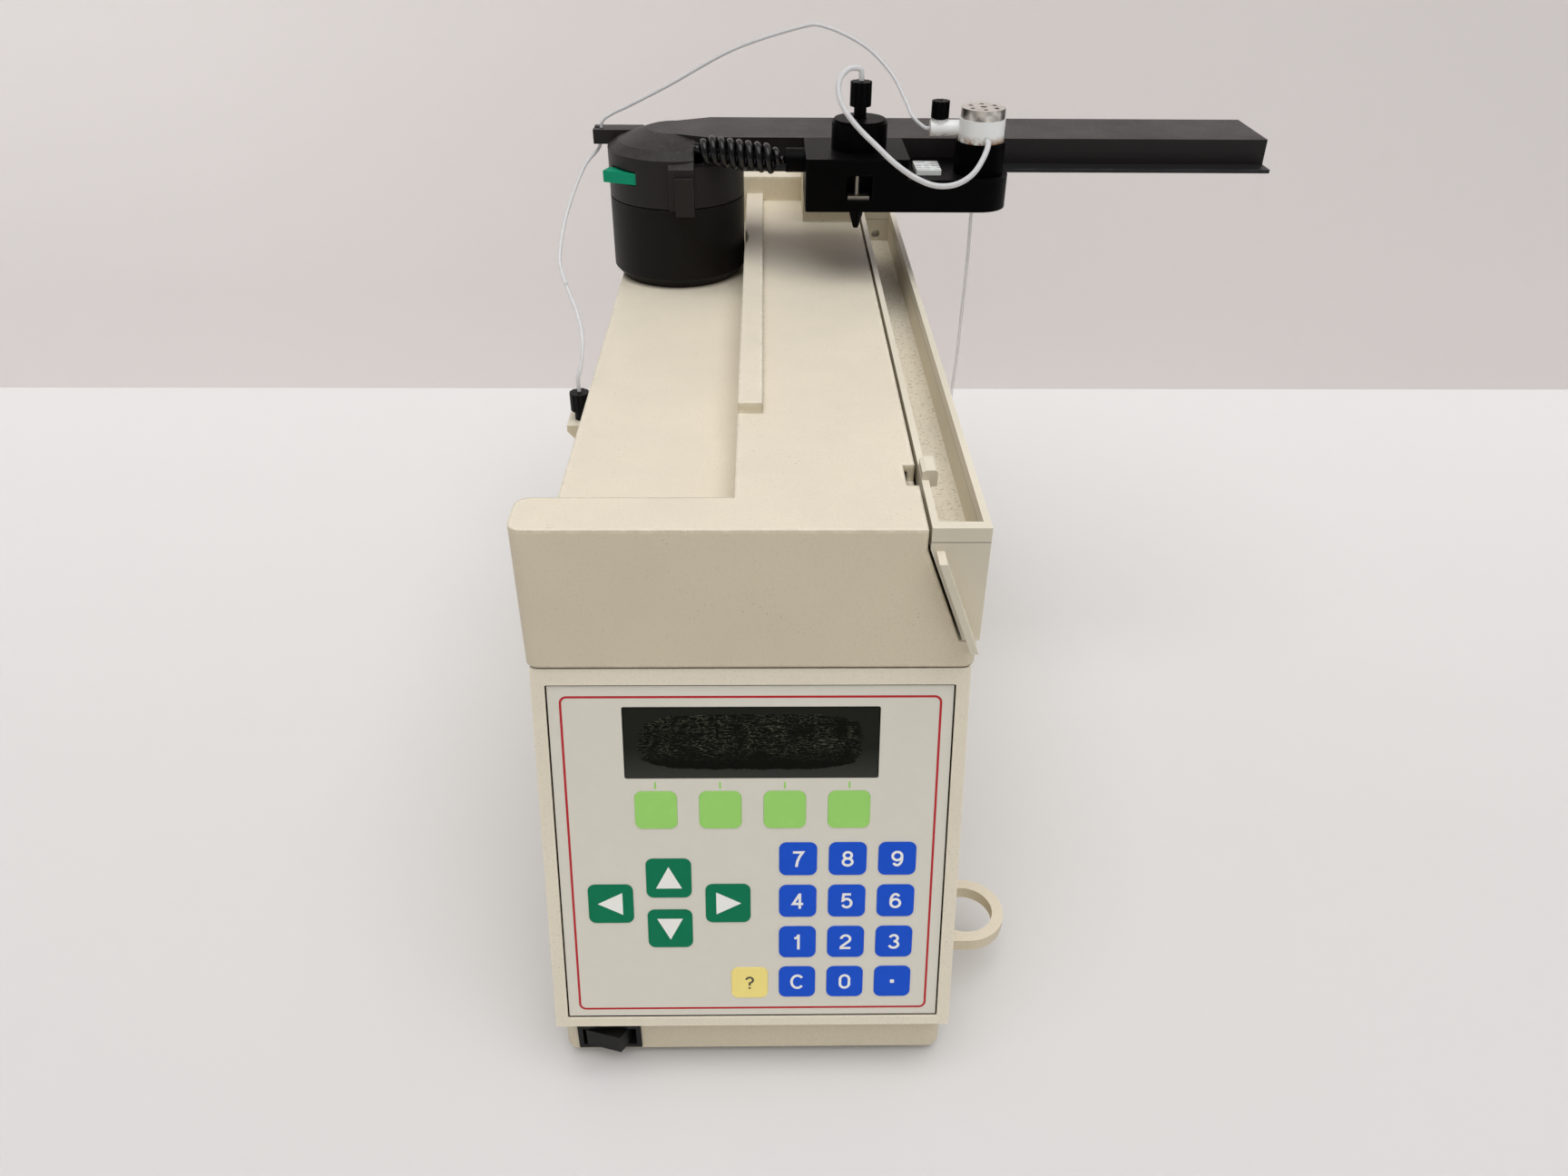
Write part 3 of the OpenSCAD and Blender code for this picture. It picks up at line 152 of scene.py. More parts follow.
class ArmSettings(bpy.types.PropertyGroup):
    shell: colour("Shell", "Colour of the head and arm", (0.014, 0.0115, 0.0115))
    pedestal: colour("Pedestal", "Colour of the pedestal", (0.006, 0.0052, 0.0045))
    carriage: colour("Carriage", "Colour of the carriage and its knob", (0.0013, 0.0012, 0.0014))
    lever: colour("Lever", "Colour of the locking lever", (0.003, 0.29, 0.155))
    jacket: colour("Cord jacket", "Colour of the curly cord", (0.003, 0.003, 0.0034))
    tube: colour("Tube", "Colour of the thin tubes", (0.80, 0.80, 0.815))
    thin_tube: length("Thin tube", "Diameter of the thin tubes", 0.0016)
    thick_tube: length("Drop tube", "Diameter of the drop tube", 0.0024)
    strand: length("Cord strand", "Diameter of the curly cord's strand", 0.0032)


class StudioSettings(bpy.types.PropertyGroup):
    table: colour("Table", "Colour of the table top", (0.665, 0.655, 0.65))
    wall: colour("Wall", "Colour of the wall behind", (0.83, 0.785, 0.775))
    wall_y: length("Wall distance", "Distance from the origin to the wall", 0.61)
    lens: bpy.props.FloatProperty(
        name="Lens", description="Focal length of the camera, in millimetres", default=27.04, min=10)
    lamp: bpy.props.FloatProperty(
        name="Lamp", description="Strength of the light from the ceiling", default=2.45, min=0)
    fill: bpy.props.FloatProperty(name="Fill", description="Strength of the light of the room", default=0.27, min=0)


SETTINGS = {
    "collector_case": CaseSettings,
    "collector_panel": PanelSettings,
    "collector_arm": ArmSettings,
    "collector_studio": StudioSettings,
}

# ---- meshes ----


def add_mesh(name, points, faces, smooth=True):
    """A new mesh object from points in metres and their faces."""
    mesh = bpy.data.meshes.new(name)
    mesh.from_pydata([tuple(p) for p in points], [], faces)
    mesh.validate()
    mesh.polygons.foreach_set("use_smooth", [smooth] * len(mesh.polygons))
    obj = bpy.data.objects.new(name, mesh)
    bpy.context.scene.collection.objects.link(obj)
    return obj


def smooth_line(points, steps):
    """A line through given points, in metres, with a number of steps between each two."""
    p = [Vector(q) * MM for q in points]
    line = []
    for i in range(len(p) - 1):
        a, b = p[max(i - 1, 0)], p[i]
        c, d = p[i + 1], p[min(i + 2, len(p) - 1)]
        for j in range(steps):
            t = j / steps
            line.append(0.5 * ((2 * b) + (c - a) * t + (2 * a - 5 * b + 4 * c - d) * t * t
                               + (3 * b - a - 3 * c + d) * t ** 3))
    line.append(p[-1])
    return line


def sweep(name, line, diameter, sides=12, hint=(0, 0, 1)):
    """A closed round tube along a line, carried along without twist."""
    tangents = [(line[min(i + 1, len(line) - 1)] - line[max(i - 1, 0)]).normalized() for i in range(len(line))]
    u = tangents[0].cross(Vector(hint)).normalized()
    points, faces = [], []
    for p, t in zip(line, tangents):
        u = (u - t * u.dot(t)).normalized()
        v = t.cross(u)
        for s in range(sides):
            a = 2 * math.pi * s / sides
            points.append(p + (u * math.cos(a) + v * math.sin(a)) * diameter / 2)
    for i in range(len(line) - 1):
        for s in range(sides):
            a, b = i * sides + s, i * sides + (s + 1) % sides
            faces.append((a, b, b + sides, a + sides))
    faces.append(tuple(range(sides - 1, -1, -1)))
    faces.append(tuple((len(line) - 1) * sides + s for s in range(sides)))
    return add_mesh(name, points, faces)


def panel_point(x, y, z):
    """A place on the panel: x right and y down from its top left corner, z out of it, in millimetres."""
    up = Vector((0, math.sin(PANEL_LEAN), math.cos(PANEL_LEAN)))
    out = Vector((0, -math.cos(PANEL_LEAN), math.sin(PANEL_LEAN)))
    corner = Vector((-PANEL_W / 2, PANEL_TOP[0], PANEL_TOP[1]))
    return (corner + Vector((x, 0, 0)) - up * y + out * z) * MM


def rounded_outline(w, h, r, steps=8):
    """The outline of a rectangle with round corners about its middle, as x and y."""
    outline = []
    for quarter, (cx, cy) in enumerate(((1, 1), (-1, 1), (-1, -1), (1, -1))):
        for k in range(steps + 1):
            a = math.pi / 2 * (quarter + k / steps)
            outline.append((cx * (w / 2 - r) + r * math.cos(a), cy * (h / 2 - r) + r * math.sin(a)))
    return outline


def printed_shape(name, outline, cx, cy, z, thick=0.03):
    """A thin raised print on the panel, from an outline about its middle, y up."""
    n = len(outline)
    low = [panel_point(cx + x, cy - y, z) for x, y in outline]
    top = [panel_point(cx + x, cy - y, z + thick) for x, y in outline]
    sides = [(i, (i + 1) % n, n + (i + 1) % n, n + i) for i in range(n)]
    return add_mesh(name, low + top, [tuple(range(n, 2 * n))] + sides, smooth=False)


def printed_ring(name, outer, inner, cx, cy, z, thick=0.03):
    """A thin raised line on the panel between two outlines with equally many points."""
    n = len(outer)
    points = [panel_point(cx + x, cy - y, z + t) for t in (0, thick) for x, y in outer]
    points += [panel_point(cx + x, cy - y, z + t) for t in (0, thick) for x, y in inner]
    faces = []
    for i in range(n):
        j = (i + 1) % n
        faces.append((n + i, n + j, 3 * n + j, 3 * n + i))
        faces.append((i, j, n + j, n + i))
        faces.append((3 * n + i, 3 * n + j, 2 * n + j, 2 * n + i))
    return add_mesh(name, points, faces, smooth=False)


def soften_edges(node, width, segments=2, angle=38):
    """A small bevel on the sharp edges of a carried-over CAD piece."""
    obj = nodes[node]
    bevel = obj.modifiers.new("edges", "BEVEL")
    bevel.width = width
    bevel.segments = segments
    bevel.limit_method = "ANGLE"
    bevel.angle_limit = math.radians(angle)
    bevel.use_clamp_overlap = True
    return obj


# ---- shader helpers ----


class Tree:
    """Short calls that add and join the nodes of a material or a group."""

    def __init__(self, tree):
        self.tree = tree
        self.column = 0

    def add(self, kind, settings=(), **inputs):
        n = self.tree.nodes.new("ShaderNode" + kind)
        n.location = (self.column * 190, 0)
        self.column += 1
        for key, value in dict(settings).items():
            setattr(n, key, value)
        for key, value in inputs.items():
            self.put(n.inputs[key.replace("_", " ")], value)
        return n

    def put(self, socket, value):
        if isinstance(value, bpy.types.NodeSocket):
            self.tree.links.new(value, socket)
        elif socket.type == "RGBA" and len(value) == 3:
            socket.default_value = (*value, 1)
        else:
            socket.default_value = value

    def math(self, operation, a, b=0.5, clamp=False):
        n = self.add("Math", {"operation": operation, "use_clamp": clamp})
        self.put(n.inputs[0], a)
        self.put(n.inputs[1], b)
        return n.outputs[0]

    def mix(self, factor, a, b, blend="MIX"):
        n = self.add("Mix", {"data_type": "RGBA", "blend_type": blend})
        self.put(n.inputs[0], factor)
        self.put(n.inputs[6], a)
        self.put(n.inputs[7], b)
        return n.outputs[2]

    def ramp(self, value, low, high):
        n = self.add("MapRange", {"clamp": True}, Value=value, From_Min=low, From_Max=high)
        return n.outputs[0]

    def noise(self, size, detail=3.0, roughness=0.5, vector=None):
        vector = self.place() if vector is None else vector
        n = self.add("TexNoise", Vector=vector, Scale=1 / size, Detail=detail, Roughness=roughness)
        return n.outputs["Fac"]

    def place(self):
        return self.add("TexCoord").outputs["Object"]


def new_group(name, inputs, outputs):
    group = bpy.data.node_groups.new(name, "ShaderNodeTree")
    for label, default in inputs:
        socket = group.interface.new_socket(name=label, in_out="INPUT", socket_type="NodeSocketFloat")
        socket.default_value = default
    for label in outputs:
        group.interface.new_socket(name=label, in_out="OUTPUT", socket_type="NodeSocketFloat")
    tree = Tree(group)
    return group, tree, tree.tree.nodes.new("NodeGroupInput"), tree.tree.nodes.new("NodeGroupOutput")


def group_once(name, make):
    return bpy.data.node_groups.get(name) or make(name)


def make_grain(name):
    """The cast texture of a moulding: a fine height and the flecks in the plastic."""
    group, tree, given, out = new_group(
        name, [("Size", 0.001), ("Fleck size", 0.0008), ("Flecks", 0.3)], ["Height", "Fleck", "Cloud"])
    place = tree.place()
    scale = tree.math("DIVIDE", 1.0, given.outputs["Size"])
    fine = tree.add("TexNoise", Vector=place, Scale=scale, Detail=2.0, Roughness=0.55)
    tree.put(out.inputs["Height"], fine.outputs["Fac"])
    fleck_scale = tree.math("DIVIDE", 1.0, given.outputs["Fleck size"])
    fleck = tree.add("TexVoronoi", {"feature": "F1"}, Vector=place, Scale=fleck_scale, Randomness=1.0)
    spread = tree.add("TexNoise", Vector=place, Scale=60.0, Detail=2.0)
    reach = tree.math("MULTIPLY", tree.ramp(spread.outputs["Fac"], 0.35, 0.75), given.outputs["Flecks"])
    reach = tree.math("MULTIPLY", reach, 0.55)
    near = tree.math("LESS_THAN", fleck.outputs["Distance"], reach)
    pick = tree.math("GREATER_THAN", tree.add("SeparateColor", Color=fleck.outputs["Color"]).outputs[0], 0.82)
    tree.put(out.inputs["Fleck"], tree.math("MULTIPLY", near, pick))
    cloud = tree.add("TexNoise", Vector=place, Scale=14.0, Detail=3.0, Roughness=0.6)
    tree.put(out.inputs["Cloud"], tree.ramp(cloud.outputs["Fac"], 0.3, 0.7))
    return group


def make_wear(name):
    """Where the edges of a piece are rubbed, broken up so that no line is even; made wide and strong, the same paler
    edge also paints a highlight.
    """
    group, tree, given, out = new_group(name, [("Radius", 0.001), ("Amount", 0.5)], ["Mask"])
    bent = tree.add("Bevel", {"samples": 4}, Radius=given.outputs["Radius"])
    flat = tree.add("NewGeometry").outputs["Normal"]
    dot = tree.add("VectorMath", {"operation": "DOT_PRODUCT"})
    tree.put(dot.inputs[0], bent.outputs[0])
    tree.put(dot.inputs[1], flat)
    edge = tree.ramp(dot.outputs["Value"], 0.995, 0.86)
    broken = tree.ramp(tree.noise(0.004, 4.0, 0.65), 0.35, 0.65)
    tree.put(out.inputs["Mask"], tree.math("MULTIPLY", tree.math("MULTIPLY", edge, broken), given.outputs["Amount"]))
    return group


def make_dust_and_sheen(name):
    """Settled dust on faces that look up, in drifts and dots; on dark plastic the paler film also stands for a painted
    sheen.
    """
    group, tree, given, out = new_group(name, [("Amount", 0.3)], ["Mask"])
    up = tree.add("SeparateXYZ", Vector=tree.add("NewGeometry").outputs["Normal"]).outputs["Z"]
    level = tree.ramp(up, 0.55, 0.95)
    drift = tree.ramp(tree.noise(0.022, 5.0, 0.7), 0.38, 0.72)
    dots = tree.ramp(tree.noise(0.0011, 2.0, 0.5), 0.60, 0.68)
    both = tree.math("ADD", tree.math("MULTIPLY", drift, 0.6), tree.math("MULTIPLY", dots, 0.5), clamp=True)
    tree.put(out.inputs["Mask"], tree.math("MULTIPLY", tree.math("MULTIPLY", both, level), given.outputs["Amount"]))
    return group


def use_group(tree, name, make, **inputs):
    n = tree.add("Group")
    n.node_tree = group_once(name, make)
    for key, value in inputs.items():
        tree.put(n.inputs[key.replace("_", " ")], value)
    return n.outputs


def new_material(name, **shader):
    """A material with its Principled shader, whose even values are set on its own sockets."""
    material = bpy.data.materials.new(name)
    material.use_nodes = True
    tree = Tree(material.node_tree)
    surface = material.node_tree.nodes["Principled BSDF"]
    for key, value in shader.items():
        tree.put(surface.inputs[key.replace("_", " ")], value)
    return material, tree, surface


def bump(tree, surface, height, strength, distance, normal=None):
    n = tree.add("Bump", Height=height, Strength=strength, Distance=distance)
    if normal:
        tree.put(n.inputs["Normal"], normal)
    tree.put(surface.inputs["Normal"], n.outputs[0])


def tinted(base, factor):
    return tuple(min(1.0, c * factor) for c in base)


def shade_upright_faces(tree, tone, tint):
    """Upright faces, painted darker and yellower than the tops as painted shade."""
    up = tree.add("SeparateXYZ", Vector=tree.add("NewGeometry").outputs["Normal"]).outputs["Z"]
    return tree.mix(tree.ramp(up, 0.2, 0.05), tone, tree.mix(1.0, tone, tint, "MULTIPLY"))


def moulding(name, base, grain, flecks, rough=0.46, depth=0.00022, dust=0.25, wear=0.5, pale=1.25, fleck_tint=0.35,
             shine=0.4, dust_and_sheen_tint=(0.56, 0.52, 0.47), shade_below=None, round_edge=0, wear_and_highlight_reach=0.0011,
             upright=None):
    """Cast plastic: cloudy colour, flecks, rubbed edges, dust and a fine cast texture; where asked also painted shade
    on upright faces and a painted shadow below a given height, and on dark plastic the dust also stands for a painted
    sheen.
    """
    material, tree, surface = new_material(name, Roughness=rough, Specular_IOR_Level=shine)
    cast = use_group(tree, "Cast grain", make_grain, Size=grain, Fleck_size=0.0011, Flecks=flecks)
    rub = use_group(tree, "Edge wear", make_wear, Radius=wear_and_highlight_reach, Amount=wear)
    dust_and_sheen = use_group(tree, "Dust and sheen", make_dust_and_sheen, Amount=dust)
    tone = tree.mix(cast["Cloud"], tinted(base, 0.955), tinted(base, 1.03))
    tone = tree.mix(tree.ramp(cast["Height"], 0.48, 0.3), tone, tinted(base, 0.91))
    # paler rubbed edges; where the reach is wide and the amount strong this also paints a highlight along the edge
    tone = tree.mix(rub["Mask"], tone, tinted(base, pale))
    tone = tree.mix(cast["Fleck"], tone, tinted(base, fleck_tint))
    # dust on faces that look up; on dark mouldings this paler film is also a painted sheen
    tone = tree.mix(dust_and_sheen["Mask"], tone, dust_and_sheen_tint)
    # painted shade: upright faces are tinted darker and yellower than the tops
    if upright:
        tone = shade_upright_faces(tree, tone, upright)
    # painted shadow: below this height the cover's lip, down in the gap under the cover, is painted near-black
    if shade_below:
        rise = tree.add("SeparateXYZ", Vector=tree.place()).outputs["Z"]
        tone = tree.mix(tree.ramp(rise, shade_below + 0.0001, shade_below - 0.0001), tone, tinted(base, 0.06))
    tree.put(surface.inputs["Base Color"], tone)
    shade = tree.add("MapRange", Value=cast["Height"], To_Min=rough - 0.06, To_Max=rough + 0.1)
    tree.put(surface.inputs["Roughness"], shade.outputs[0])
    rounded = tree.add("Bevel", {"samples": 4}, Radius=round_edge).outputs[0] if round_edge else None
    bump(tree, surface, cast["Height"], 0.35, depth, rounded)
    return material


def trough_plastic(base, grain, flecks):
    """The trough's plastic: a smooth rim over a cast front, and dirt dried along its channel."""
    material, tree, surface = new_material("trough moulding", Specular_IOR_Level=0.4)
    cast = use_group(tree, "Cast grain", make_grain, Size=grain, Fleck_size=0.0009, Flecks=flecks)
    rub = use_group(tree, "Edge wear", make_wear, Radius=0.0009, Amount=0.5)
    dust_and_sheen = use_group(tree, "Dust and sheen", make_dust_and_sheen, Amount=0.3)
    rise = tree.add("SeparateXYZ", Vector=tree.place()).outputs["Z"]
    up = tree.add("SeparateXYZ", Vector=tree.add("NewGeometry").outputs["Normal"]).outputs["Z"]
    below = tree.math("LESS_THAN", rise, TROUGH_RIM)
    away = tree.math("ABSOLUTE", tree.math("SUBTRACT", rise, TROUGH_RIM))
    line = tree.math("MULTIPLY", tree.ramp(away, 0.0003, 0.0001), tree.ramp(up, 0.5, 0.3))
    floor = tree.math("MULTIPLY", tree.ramp(rise, TROUGH_FLOOR + 0.002, TROUGH_FLOOR), tree.ramp(up, 0.8, 0.95))
    dried = tree.math("MULTIPLY", floor, tree.ramp(tree.noise(0.0016, 5.0, 0.75), 0.54, 0.66))
    tone = tree.mix(cast["Cloud"], tinted(base, 0.95), tinted(base, 1.03))
    tone = tree.mix(rub["Mask"], tone, tinted(base, 1.2))
    tone = tree.mix(cast["Fleck"], tone, tinted(base, 0.4))
    tone = tree.mix(dust_and_sheen["Mask"], tone, (0.56, 0.52, 0.46))
    tone = tree.mix(tree.math("MULTIPLY", dried, 0.7), tone, (0.16, 0.12, 0.07))
    # painted shade: the trough's upright faces are tinted darker than its tops
    tone = shade_upright_faces(tree, tone, (0.86, 0.85, 0.83))
    tone = tree.mix(tree.math("MULTIPLY", line, 0.75), tone, tinted(base, 0.22))
    tree.put(surface.inputs["Base Color"], tone)
    tree.put(surface.inputs["Roughness"], tree.add("MapRange", Value=below, To_Min=0.3, To_Max=0.48).outputs[0])
    depth = tree.math("MULTIPLY", cast["Height"], tree.add("MapRange", Value=below, To_Min=0.2, To_Max=1.0).outputs[0])
    bump(tree, surface, depth, 0.4, 0.00014)
    return material


def gloss_black(name, base, rough=0.22, scratch=0.3, shine=0.25, dust=0.05):
    """Smooth black plastic with fine scratches and a little dust, whose paler film on faces that look up is partly a
    painted sheen.
    """
    material, tree, surface = new_material(name, Specular_IOR_Level=shine)
    dust_and_sheen = use_group(tree, "Dust and sheen", make_dust_and_sheen, Amount=dust)
    tree.put(surface.inputs["Base Color"], tree.mix(dust_and_sheen["Mask"], base, (0.20, 0.19, 0.18)))
    fine = tree.noise(0.0012, 4.0, 0.7)
    tree.put(surface.inputs["Roughness"], tree.add("MapRange", Value=fine, To_Min=rough, To_Max=rough + scratch).outputs[0])
    bump(tree, surface, fine, 0.12, 0.00005)
    return material


def metal(name, base, rough, brushed=(1, 1, 1), spots=0.2, side=1.0):
    """Bare metal with brushing along one way, dull spots and, where asked, upright faces darkened in patchy bands."""
    material, tree, surface = new_material(name, Metallic=1.0)
    mapping = tree.add("Mapping", Vector=tree.place(), Scale=brushed)
    lines = tree.noise(0.0008, 3.0, 0.6, mapping.outputs[0])
    dull = tree.ramp(tree.noise(0.004, 4.0, 0.6), 0.5, 0.7)
    tone = tree.mix(tree.math("MULTIPLY", dull, spots), base, tinted(base, 0.45))
    if side < 1:
        up = tree.add("SeparateXYZ", Vector=tree.add("NewGeometry").outputs["Normal"]).outputs["Z"]
        bands = tree.math("MULTIPLY", tree.ramp(up, 0.6, 0.2), tree.ramp(tree.noise(0.007, 2.0, 0.5), 0.36, 0.56))
        tone = tree.mix(bands, tone, tinted(base, side))
    tree.put(surface.inputs["Base Color"], tone)
    tree.put(surface.inputs["Roughness"], tree.add("MapRange", Value=lines, To_Min=rough, To_Max=rough + 0.22).outputs[0])
    bump(tree, surface, lines, 0.15, 0.00004)
    return material


def film(name, base, rough=0.4, wear=0.12, shine=0.3):
    """Printed polyester film: finely pebbled, a little paler where fingers rub it."""
    material, tree, surface = new_material(name, Specular_IOR_Level=shine)
    pebble = tree.noise(0.00045, 2.0, 0.5)
    rubbed = tree.math("MULTIPLY", tree.ramp(tree.noise(0.006, 4.0, 0.6), 0.45, 0.7), wear)
    tree.put(surface.inputs["Base Color"], tree.mix(rubbed, base, tinted(base, 1.35)))
    tree.put(surface.inputs["Roughness"], tree.add("MapRange", Value=pebble, To_Min=rough - 0.05, To_Max=rough + 0.12).outputs[0])
    bump(tree, surface, pebble, 0.18, 0.00004)
    return material


def tube_plastic(name, base, alpha):
    """Translucent fluoropolymer tube, milky in patches."""
    material, tree, surface = new_material(name, Roughness=0.24, Specular_IOR_Level=0.4, Subsurface_Weight=0.2)
    surface.inputs["Subsurface Radius"].default_value = (0.002, 0.002, 0.002)
    milk = tree.noise(0.003, 3.0, 0.6)
    tree.put(surface.inputs["Base Color"], tree.mix(milk, tinted(base, 0.93), tinted(base, 1.05)))
    tree.put(surface.inputs["Alpha"], tree.add("MapRange", Value=milk, To_Min=alpha - 0.05, To_Max=alpha + 0.05).outputs[0])
    bump(tree, surface, milk, 0.08, 0.00005)
    return material


def dress(node, material):
    """Gives a carried-over CAD piece its material."""
    obj = nodes[node]
    obj.data.materials.clear()
    obj.data.materials.append(material)
    return obj


def give(obj, material, body):
    """A new piece's material and body."""
    obj.data.materials.append(material)
    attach(obj, body)
    return obj


# ---- operators ----


class StudioOperator(bpy.types.Operator):
    """Builds the camera, table, wall and lamps"""

    bl_idname = "collector.studio"
    bl_label = "Studio"

    def execute(self, context):
        look = context.scene.collector_studio
        self.camera(context.scene, look)
        self.table_and_wall(look)
        self.lamps(context.scene, look)
        context.scene.view_settings.view_transform = "Standard"
        return {"FINISHED"}

    def camera(self, scene, look):
        """The photograph's viewpoint: pitched 33.8 degrees down and turned a degree to the right."""
        place = Vector((4.77, -295.5, 407.4)) * MM
        pitch, turn, roll = math.radians(33.83), math.radians(1.11), math.radians(-0.537)
        ahead = Vector((math.sin(turn) * math.cos(pitch), math.cos(turn) * math.cos(pitch), -math.sin(pitch)))
        side = Vector((math.cos(turn), -math.sin(turn), 0))
        right = Matrix.Rotation(roll, 3, ahead) @ side
        up = right.cross(ahead)
        camera = bpy.data.objects.new("camera", bpy.data.cameras.new("camera"))
        camera.data.sensor_width = 36
        camera.data.lens = look.lens
        camera.data.clip_start = 0.01
        camera.data.dof.use_dof = False
        camera.matrix_world = Matrix((
            (right.x, up.x, -ahead.x, place.x), (right.y, up.y, -ahead.y, place.y),
            (right.z, up.z, -ahead.z, place.z), (0, 0, 0, 1)))
        scene.collection.objects.link(camera)
        scene.camera = camera

    def table_and_wall(self, look):
        far = look.wall_y
        table = add_mesh("table", [(-3, -3, 0), (3, -3, 0), (3, 3, 0), (-3, 3, 0)], [(0, 1, 2, 3)], False)
        wall = add_mesh("wall", [(-3, far, 0), (3, far, 0), (3, far, 3), (-3, far, 3)], [(0, 1, 2, 3)], False)
        for obj, base in ((table, look.table), (wall, look.wall)):
            material, tree, surface = new_material(obj.name, Roughness=0.55, Specular_IOR_Level=0.25,
                                                   Emission_Strength=1.0)
            place = tree.add("SeparateXYZ", Vector=tree.place()).outputs
            soft = tree.ramp(tree.noise(0.35, 3.0, 0.5), 0.3, 0.7)
            tone = tree.mix(soft, tinted(base, 0.99), tinted(base, 1.01))
            # the table is painted paler towards the back, as painted light
            tone = tree.mix(tree.ramp(place["Y"], -0.1, far - 0.1), tone, tinted(base, 1.1 if obj is table else 1))
            tree.put(surface.inputs["Base Color"], tone)
            higher = tree.add("MapRange", Value=place["Z"], From_Min=0.08, From_Max=0.27, To_Min=0.35, To_Max=1.0)
            lit = tree.math("MULTIPLY", tree.ramp(place["X"], 0.6, -0.4), higher.outputs[0])
            glow = tree.mix(lit, (0.02, 0.018, 0.017), (0.17, 0.163, 0.16))
            if obj is table:
                glow = tree.mix(tree.ramp(place["Y"], 0.1, far), (0, 0, 0), (0.08, 0.08, 0.08))
            seen = tree.add("LightPath").outputs
            direct = tree.math("MAXIMUM", seen["Is Camera Ray"], seen["Is Glossy Ray"])
            tree.put(surface.inputs["Emission Color"], tree.mix(direct, (0, 0, 0), glow))
            if obj is wall:
                # the wall is see-through from behind, so that the rear of the collector can be looked at
                behind = tree.add("NewGeometry").outputs["Backfacing"]
                tree.put(surface.inputs["Alpha"], tree.math("SUBTRACT", 1.0, behind))
            obj.data.materials.append(material)

    def lamps(self, scene, look):
        world = bpy.data.worlds.new("room")
        world.use_nodes = True
        tree = Tree(world.node_tree)
        sky = world.node_tree.nodes["Background"]
        tree.put(sky.inputs["Color"], (1.0, 0.99, 0.98))
        # the world looks pale to the camera and lights the collector more softly
        seen = tree.add("LightPath").outputs["Is Camera Ray"]
        level = tree.add("MapRange", Value=seen, To_Min=look.fill, To_Max=0.75)
        tree.put(sky.inputs["Strength"], level.outputs[0])
        scene.world = world
        lamp = bpy.data.lights.new("ceiling", "SUN")
        lamp.energy = look.lamp
        lamp.angle = math.radians(64)
        obj = bpy.data.objects.new("ceiling", lamp)
        obj.rotation_euler = Vector((0.06, -0.28, 1)).to_track_quat("Z", "Y").to_euler()
        scene.collection.objects.link(obj)


INLET = [
    (-69.8, 143, 208.75), (-69.8, 143, 214.5), (-68.5, 145, 219), (-68, 152, 228), (-72, 168, 233), (-79, 190, 236.5),
    (-84.5, 212, 239.5), (-86, 240, 246), (-84.5, 265, 253.5), (-81, 288, 261), (-76, 300.2, 265.3),
    (-73.8, 300.5, 271.3), (-73.2, 300.5, 277.8), (-68, 301, 281.5), (-60, 301, 285), (-40, 298, 295),
    (-10, 294, 311), (20, 290, 321), (32, 288, 322), (50, 282, 315), (62, 274, 305), (68, 262, 295.5),
    (70.5, 252, 291), (75, 246, 288), (77.25, 246, 287.8)]
INLET_SPLITS = (5, 11)          # which points the riser's upper part and the span begin at
DROP = [
    (100.9, 233.5, 285.2), (100.9, 229.5, 284.2), (98.5, 225.5, 279.5), (94, 222, 274), (87, 220.5, 270.2),
    (78.5, 221, 269.5), (70, 223.5, 272), (61, 226.2, 277.3), (53, 231, 283.5), (45.5, 236.2, 289.5),
    (39.5, 240.5, 296), (36.8, 244, 302), (37.5, 247.5, 307.5), (41.5, 250, 311), (46.1, 251, 310.8),
    (46.9, 251, 308.3), (46.9, 251, 306.05)]
WASTE = [
    (99.9, 249.5, 255.6), (99.9, 249.5, 247.6), (101, 254, 225), (101, 256, 200),
    (101, 258, 175), (100, 259, 150), (100, 259, 125), (101, 258, 100), (102, 257, 80)]

CURLS = 9
CURL_RADIUS = 5.0
CURL_RINGS = 20                 # points in each curl
CORD_START = (-27.5, 261.4, 274.7)
CORD_END = (14.3, 251.4, 272.5)
CORD_STRAIGHT = 2.4


